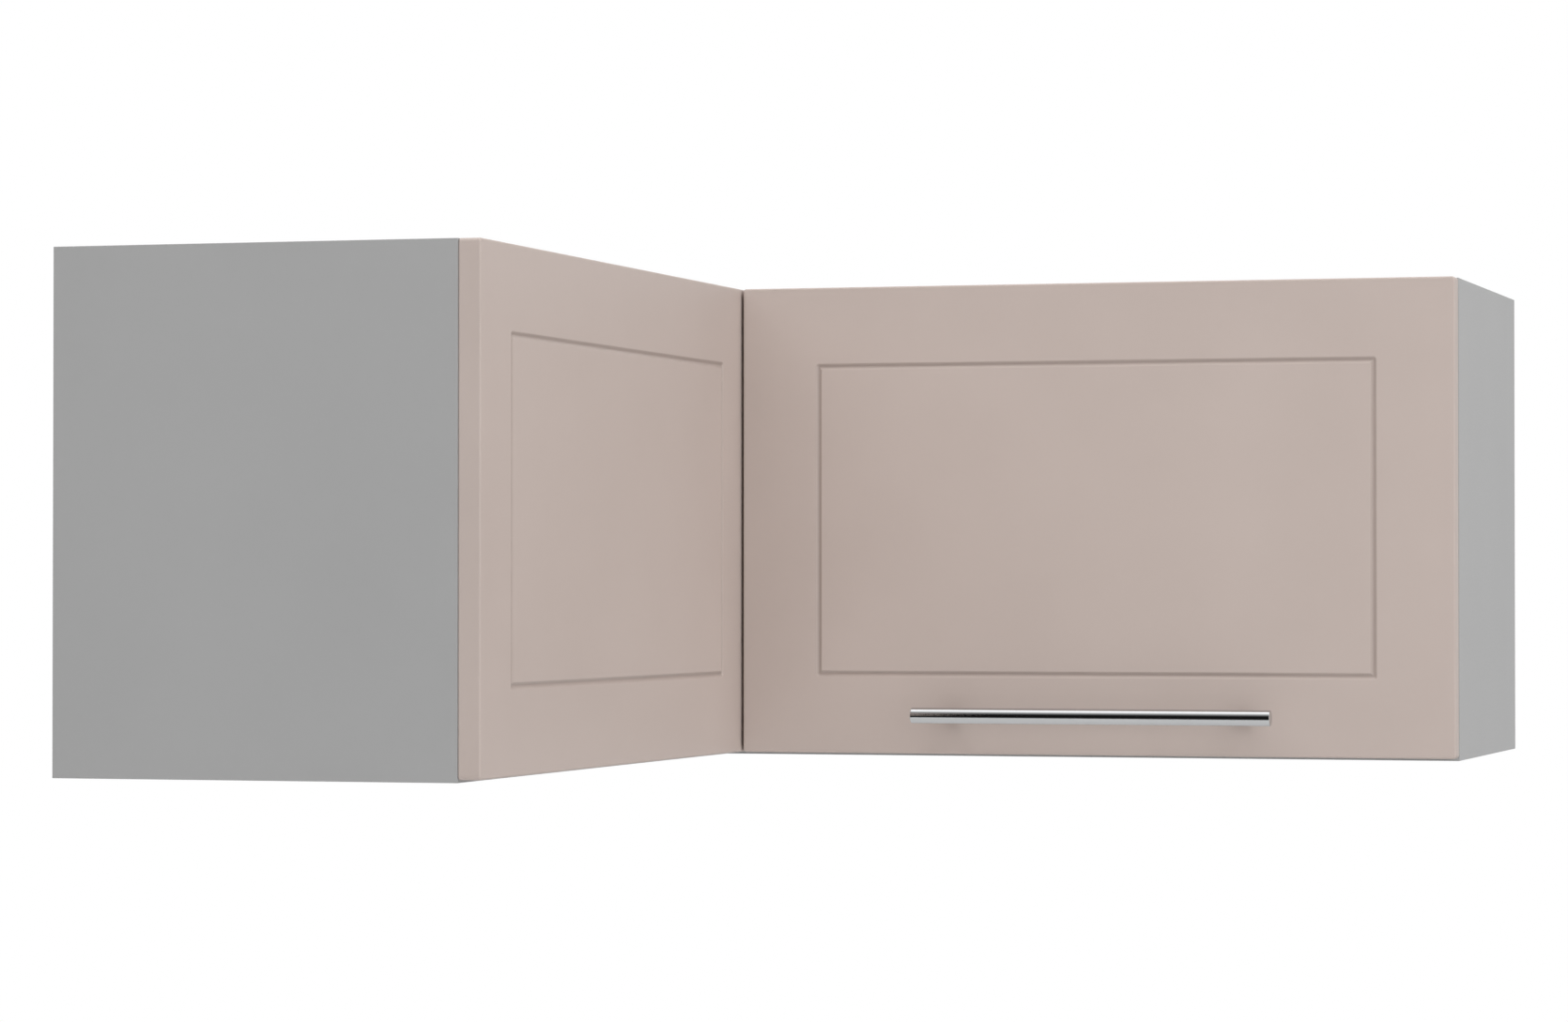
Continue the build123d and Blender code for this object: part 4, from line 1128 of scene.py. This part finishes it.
def rods_of(node: str) -> list[Rod]:
    """Measures every round solid of a CAD node, with its thicker end as the tip.

    Args:
        node: The node's name.

    Returns:
        The rods.
    """
    rods = []
    others = ((1, 2), (0, 2), (0, 1))
    for part in loose_parts(node):
        low = Vector([min(corner[i] for corner in part) for i in range(3)])
        high = Vector([max(corner[i] for corner in part) for i in range(3)])
        size = high - low
        axis = min(range(3), key=lambda i: abs(size[others[i][0]] - size[others[i][1]]))
        middle = (low + high) / 2
        foot, tip = middle.copy(), middle.copy()
        foot[axis], tip[axis] = low[axis], high[axis]
        radii = [radius_at(part, middle, axis, level) for level in (low[axis], high[axis])]
        rod = Rod(foot, tip, *radii)
        rods.append(rod if rod.tip_radius >= rod.foot_radius else rod.reversed())
    return rods


@dataclass(frozen=True)
class Fasteners:
    """Screws, rivets, caps or bumpers that take the places of a CAD node's rods.

    The piece is called after its node. Heads are a touch narrower than the rods. The
    heads look towards a place where one is given, and are on the thicker ends elsewhere.
    """

    node: str
    body: str
    slot: Slot = Slot.ZINC
    head: Head = Head.PAN
    drive: Drive = Drive.CROSS
    head_height: float = 1.6 * MILLIMETRE
    shank_share: float = 0.5
    tips_towards: Place | None = None
    point: float = 2.0 * MILLIMETRE
    point_share: float = 0.25
    clearance: float = 0.995
    sides: int = 32
    sharp_angle: float = 40.0

    def rods(self) -> list[Rod]:
        """The rods, each with its seen end as the tip.

        Returns:
            The rods.
        """
        found = rods_of(self.node)
        if self.tips_towards is None:
            return found
        target = Vector(self.tips_towards)
        return [
            rod if (target - rod.tip).length < (target - rod.foot).length else rod.reversed()
            for rod in found
        ]

    def outline(self, radius: float, length: float) -> list[Step]:
        """The outline of one fastener, from its far end to its seen end.

        Args:
            radius: The head's radius, in metres.
            length: The whole length, in metres.

        Returns:
            Radius and height of each ring.
        """
        under = length - self.head_height
        head = [(radius * r, under + self.head_height * h) for r, h in self.head.value]
        if under <= NEGLIGIBLE:
            return head
        shank = radius * self.shank_share
        point = min(self.point, under / 2)
        return [(shank * self.point_share, 0.0), (shank, point), (shank, under)] + head

    def build(self) -> None:
        """Builds all the fasteners as one piece."""
        mesh, tool = bmesh.new(), bmesh.new()
        recess = self.drive.value
        for rod in self.rods():
            radius = max(rod.tip_radius, rod.foot_radius) * self.clearance
            place = facing(rod.foot, rod.direction)
            turned(mesh, self.outline(radius, rod.length), place, self.sides)
            if recess:
                recess.add(tool, facing(rod.tip, rod.direction), radius, self.head_height)
        if recess:
            carve(mesh, tool)
        else:
            tool.free()
        piece = Piece(self.node + "_turned", self.body, self.slot, (self.node,))
        piece.make(mesh, self.sharp_angle)


@dataclass(frozen=True)
class StayLink:
    """A flat pressed link of the lift stay, round its pin at both ends."""

    piece: Piece
    upper_pin: str
    lower_pin: str
    rim: float = 0.5 * MILLIMETRE
    rim_segments: int = 3
    sides: int = 56
    flat_angle: float = 0.01

    def build(self) -> None:
        """Builds the link on its CAD node's place."""
        low, high = self.piece.box()
        upper, lower = (sum(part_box(pin), Vector()) / 2 for pin in (self.upper_pin, self.lower_pin))
        mesh = bmesh.new()
        for pin, radius in ((upper, high.z - upper.z), (lower, lower.z - low.z)):
            for x in (low.x, high.x):
                place = facing((x, pin.y, pin.z), (1, 0, 0))
                bmesh.ops.create_circle(mesh, radius=radius, segments=self.sides, matrix=place)
        hull = bmesh.ops.convex_hull(mesh, input=mesh.verts)
        inner = [item for item in hull["geom_interior"] if isinstance(item, bmesh.types.BMVert)]
        bmesh.ops.delete(mesh, geom=inner, context="VERTS")
        bmesh.ops.dissolve_limit(mesh, angle_limit=self.flat_angle, verts=mesh.verts, edges=mesh.edges)
        flats = [face for face in mesh.faces if abs(face.normal.x) > STRAIGHT_ON]
        rims = once(edge for face in flats for edge in face.edges)
        round_edges(mesh, rims, self.rim, self.rim_segments)
        self.piece.make(mesh)


@dataclass(frozen=True)
class StayCase:
    """The lift stay's moulded case, with a sunk lid and the socket that sets its force."""

    piece: Piece
    corner: float = 7.0 * MILLIMETRE
    corner_segments: int = 8
    rim: float = 1.2 * MILLIMETRE
    rim_segments: int = 4
    lid_margin: float = 1.6 * MILLIMETRE
    lid_depth: float = 0.4 * MILLIMETRE
    socket_radius: float = 2.4 * MILLIMETRE
    socket_depth: float = 6.0 * MILLIMETRE
    socket_behind: float = 9.0 * MILLIMETRE

    def build(self) -> None:
        """Builds the case on its CAD node's place."""
        low, high = self.piece.box()
        mesh = bmesh.new()
        box_between(mesh, low, high)
        sides = {edge: edge.verts[0].co - edge.verts[1].co for edge in mesh.edges}
        across = [edge for edge, side in sides.items() if abs(side.x) > NEGLIGIBLE]
        round_edges(mesh, across, self.corner, self.corner_segments)
        lid = min(mesh.faces, key=lambda face: face.normal.x)
        round_edges(mesh, lid.edges, self.rim, self.rim_segments)
        lid = min(mesh.faces, key=lambda face: face.normal.x - face.calc_area())
        for width, depth in ((self.lid_margin, 0.0), (self.lid_depth, self.lid_depth)):
            bmesh.ops.inset_region(mesh, faces=[lid], thickness=width, depth=-depth, use_even_offset=True)
        tool = bmesh.new()
        place = facing((low.x, high.y - self.socket_behind, (low.z + high.z) / 2), (-1, 0, 0))
        rings = ((self.socket_radius, -self.socket_depth), (self.socket_radius, self.socket_depth))
        turned(tool, rings, place, HEXAGON)
        carve(mesh, tool)
        self.piece.make(mesh)


@dataclass(frozen=True)
class CarriedNodes:
    """CAD pieces that are shown as they are, each with its slot's finish."""

    slot_names: dict[str, str]
    edge_segments: int = 2

    def break_edges(self, node: bpy.types.Object, width: float) -> None:
        """Takes the sharpness off a CAD piece's edges, without touching its mesh.

        Args:
            node: The CAD piece.
            width: How far the edges are broken, in metres.
        """
        weld = node.modifiers.new("joined", "WELD")
        weld.merge_threshold = SAME_CORNER
        edges = node.modifiers.new("broken_edges", "BEVEL")
        edges.width = width
        edges.segments = self.edge_segments
        edges.limit_method = "ANGLE"
        edges.angle_limit = math.radians(SHARP_ANGLE)

    def dress(self) -> None:
        """Gives every CAD piece that is still shown its finish."""
        slots = {slot.label: slot for slot in Slot}
        for name, node in sorted(frame["nodes"].items()):
            if node.hide_render:
                continue
            label = self.slot_names[name]
            material = slots[label].finish.material()
            if not node.material_slots:
                node.data.materials.append(material)
            for slot in node.material_slots:
                slot.material = material
            if slots[label].edge_break:
                self.break_edges(node, slots[label].edge_break)
            LOG.info("carried %s: %s", name, label)


# ----------------------------------------------------------------- the studio


@dataclass(frozen=True)
class Lamp:
    """One soft square lamp that points at the cabinet."""

    name: str
    place: Place
    power: float
    size: float = 3.6
    target: Place = (0.0, 0.0, 0.15)

    def build(self) -> None:
        """Hangs the lamp."""
        data = bpy.data.lights.new(self.name, "AREA")
        data.shape = "SQUARE"
        data.size = self.size
        data.energy = self.power
        lamp = bpy.data.objects.new(self.name, data)
        direction = Vector(self.target) - Vector(self.place)
        turn = direction.to_track_quat("-Z", "Y").to_matrix().to_4x4()
        lamp.matrix_world = Matrix.Translation(self.place) @ turn
        lamp.visible_camera = False
        lamp.visible_glossy = False
        bpy.context.scene.collection.objects.link(lamp)


LAMPS = (
    Lamp("front_lamp", (0.6, -5.0, 0.35), 24.0),
    Lamp("front_right_lamp", (3.6, -3.4, 0.5), 58.0),
    Lamp("left_lamp", (-2.4, -4.2, 0.5), 8.0),
    Lamp("top_lamp", (0.4, -1.3, 3.6), 54.0),
    Lamp("top_right_lamp", (3.2, -1.0, 3.4), 98.0),
    Lamp("top_left_lamp", (-2.4, -2.2, 3.4), 52.0),
    Lamp("back_lamp", (-3.2, 3.8, 2.0), 110.0),
)


@dataclass(frozen=True)
class ReflectionScreen:
    """A curved screen in front that only reflections see: bright above, dark at eye level."""

    radius: float = 3.0
    length: float = 9.0
    facets: int = 96
    behind: float = 0.7
    centre: Place = (0.0, 0.1, 0.03)
    glow: float = 1.8
    overhead_narrowing: float = 4.3
    underfoot: float = 0.28
    underfoot_start: float = 0.1
    underfoot_full: float = 0.62
    darkest: float = 0.005

    def material(self) -> bpy.types.Material:
        """The screen's glow, which depends on the height alone.

        Returns:
            The material.
        """
        graph = MaterialGraph("reflection_screen")
        level = (graph.part_of(graph.place(), "Z") - self.centre[2]) / self.radius
        above = graph.step(level, 0.0, 1.0) ** self.overhead_narrowing
        below = graph.step(0.0 - level, self.underfoot_start, self.underfoot_full)
        total = above + below * below * self.underfoot + self.darkest
        graph.shade(
            Base_Color=BLACK,
            Specular_IOR_Level=0.0,
            Emission_Color=graph.mix(total, BLACK, WHITE),
            Emission_Strength=self.glow,
        )
        return graph.material

    def build(self) -> None:
        """Hangs the screen."""
        mesh = bmesh.new()
        bmesh.ops.create_cone(
            mesh,
            cap_ends=False,
            segments=self.facets,
            radius1=self.radius,
            radius2=self.radius,
            depth=self.length,
            matrix=Matrix.Translation(self.centre) @ Matrix.Rotation(math.pi / 2, 4, "Y"),
        )
        bmesh.ops.bisect_plane(
            mesh,
            geom=list(mesh.verts) + list(mesh.edges) + list(mesh.faces),
            plane_co=(0, self.behind, 0),
            plane_no=(0, 1, 0),
            clear_outer=True,
        )
        screen = shown("reflection_screen", mesh)
        mesh.free()
        screen.data.materials.append(self.material())
        screen.visible_camera = False
        screen.visible_diffuse = False
        screen.visible_shadow = False
        screen.visible_transmission = False


@dataclass(frozen=True)
class Studio:
    """Plain pale floor, plain soft light, white surroundings and the camera."""

    floor_level: float = -1.35
    floor_size: float = 9.0
    floor_dull: Colour = colour(232, 232, 232)
    floor_pale: Colour = colour(236, 236, 236)
    floor_clouds: float = 3.0
    floor_roughness: float = 0.9
    floor_whiteness: float = 0.7
    ambient: float = 0.29
    camera_place: Place = (0.982228, -3.440486, 0.129253)
    camera_yaw: float = 0.290833
    camera_pitch: float = 0.0157636
    camera_roll: float = 0.000126
    focal_length: float = 111.10
    sensor_width: float = 36.0
    sight: float = 100.0

    def floor_material(self) -> bpy.types.Material:
        """Pale paint that looks whiter than it lights, and that nobody sees from below.

        Returns:
            The material.
        """
        graph = MaterialGraph("studio_floor")
        graph.shade(
            Base_Color=graph.mix(graph.noise(self.floor_clouds), self.floor_dull, self.floor_pale),
            Roughness=self.floor_roughness,
            Specular_IOR_Level=0.0,
        )
        seen = graph.ray("Camera")
        under = graph.add("ShaderNodeNewGeometry", output="Backfacing")
        white = graph.add("ShaderNodeEmission", inputs={"Color": WHITE})
        clear = graph.add("ShaderNodeBsdfTransparent")
        graph.overlay(seen * self.floor_whiteness, white)
        graph.overlay(seen * under, clear)
        return graph.material

    def build_floor(self) -> None:
        """Lays the floor, a wall cabinet's usual height below the cabinet."""
        mesh = bmesh.new()
        place = Matrix.Translation((0, 0, self.floor_level))
        bmesh.ops.create_grid(mesh, x_segments=1, y_segments=1, size=self.floor_size, matrix=place)
        floor = shown("studio_floor", mesh)
        mesh.free()
        floor.data.materials.append(self.floor_material())

    def build_world(self) -> None:
        """Sets soft light from all around, and plain white where it is seen."""
        world = bpy.data.worlds.new("studio")
        bpy.context.scene.world = world
        world.use_nodes = True
        graph = Graph(world.node_tree, "ShaderNodeOutputWorld")
        seen = graph.ray("Camera") + graph.ray("Glossy") + graph.ray("Transmission")
        strength = graph.step(seen, 0.0, 1.0).spread(self.ambient, 1.0)
        graph.show(graph.add("ShaderNodeBackground", inputs={"Color": WHITE, "Strength": strength}))

    def build_camera(self) -> None:
        """Sets the camera where the photograph was taken from."""
        data = bpy.data.cameras.new("photograph_view")
        data.sensor_fit = "HORIZONTAL"
        data.sensor_width = self.sensor_width
        data.lens = self.focal_length
        data.clip_end = self.sight
        camera = bpy.data.objects.new("photograph_view", data)
        turn = (
            Matrix.Rotation(self.camera_yaw, 4, "Z")
            @ Matrix.Rotation(math.pi / 2 + self.camera_pitch, 4, "X")
            @ Matrix.Rotation(self.camera_roll, 4, "Z")
        )
        camera.matrix_world = Matrix.Translation(self.camera_place) @ turn
        bpy.context.scene.collection.objects.link(camera)
        bpy.context.scene.camera = camera

    def build(self) -> None:
        """Builds the whole studio."""
        self.build_floor()
        self.build_world()
        for lamp in LAMPS:
            lamp.build()
        ReflectionScreen().build()
        self.build_camera()
        bpy.context.scene.view_settings.view_transform = "Standard"
        LOG.info("studio: floor, white surroundings, %d lamps and the camera", len(LAMPS))


# ---------------------------------------------------------------- what is built

INSIDE: Place = (0.0, 0.2, 0.18)
BEHIND_THE_DOOR: Place = (0.15, 5.0, 0.18)
HINGE_CUPS = (mm(-21, 339.5), mm(331, 339.5))
# How high a head is, and the share of its radius that the shank has.
EURO = (4.0 * MILLIMETRE, 0.66)
LONG_GRUB = (3.0 * MILLIMETRE, 1.0)
SHORT_GRUB = (2.0 * MILLIMETRE, 1.0)
PIN = (1.5 * MILLIMETRE, 0.6)
CAP = (1.0 * MILLIMETRE, 0.5)
KNOB = (1.6 * MILLIMETRE, 0.5)

FASTENERS = (
    Fasteners("front_angle_screws", "carcass"),
    Fasteners("front_post_screws", "carcass"),
    Fasteners("hinge_plate_screws", "carcass"),
    Fasteners("stay_housing_screws", "carcass"),
    Fasteners("hinge_cup_screws", "door"),
    Fasteners("stay_bracket_screws", "door"),
    Fasteners("handle_screws", "door", shank_share=0.55),
    Fasteners("euro_screws", "carcass", Slot.ZINC, Head.FLUSH, Drive.SOCKET, *EURO),
    Fasteners("hanger_screws", "carcass", Slot.ZINC, Head.GRUB, Drive.CROSS, *LONG_GRUB),
    Fasteners("hinge_adjusters", "carcass", Slot.NICKEL, Head.GRUB, Drive.CROSS, *SHORT_GRUB),
    Fasteners("stay_main_pin", "carcass", Slot.NICKEL, Head.RIVET, Drive.NONE, *PIN),
    Fasteners("stay_knee_pin", "stay_lever", Slot.NICKEL, Head.RIVET, Drive.NONE, *PIN),
    Fasteners("stay_bracket_pin", "door", Slot.NICKEL, Head.RIVET, Drive.NONE, *PIN),
    Fasteners("cam_caps", "carcass", Slot.CAP, Head.CAP, Drive.NONE, *CAP, INSIDE),
    Fasteners("door_bumpers", "door", Slot.RUBBER, Head.BUMPER, Drive.NONE, *KNOB, BEHIND_THE_DOOR),
)


def main() -> None:
    """Builds every piece, dresses the carried ones and sets the studio."""
    logging.basicConfig(level=logging.INFO, format="%(name)s: %(message)s")
    left_front = Piece("left_front", "carcass", Slot.FRONT, ("left_front_panel",))
    door = Piece("door_front", "door", Slot.FRONT, ("door_panel",))
    MilledFront(left_front, Facing.DOORWAY).build()
    MilledFront(door, Facing.CAMERA, cup_places=HINGE_CUPS).build()
    BarHandle(
        Piece("handle_rod", "door", Slot.HANDLE, ("handle_bar",)),
        Piece("handle_feet", "door", Slot.HANDLE, ("handle_posts",)),
    ).build()
    lever = Piece("stay_lever_link", "stay_lever", Slot.NICKEL, ("stay_lever",))
    arm = Piece("stay_arm_link", "stay_arm", Slot.NICKEL, ("stay_arm",))
    StayLink(lever, "stay_main_pin", "stay_knee_pin").build()
    StayLink(arm, "stay_bracket_pin", "stay_knee_pin").build()
    StayCase(Piece("stay_case", "carcass", Slot.FITTING, ("stay_housing",))).build()
    for row in FASTENERS:
        row.build()
    slots = {row["node"]: row["material_slot"] for row in frame["record"]["subparts"]}
    CarriedNodes(slots).dress()
    Studio().build()


if __name__ == "__main__":
    main()
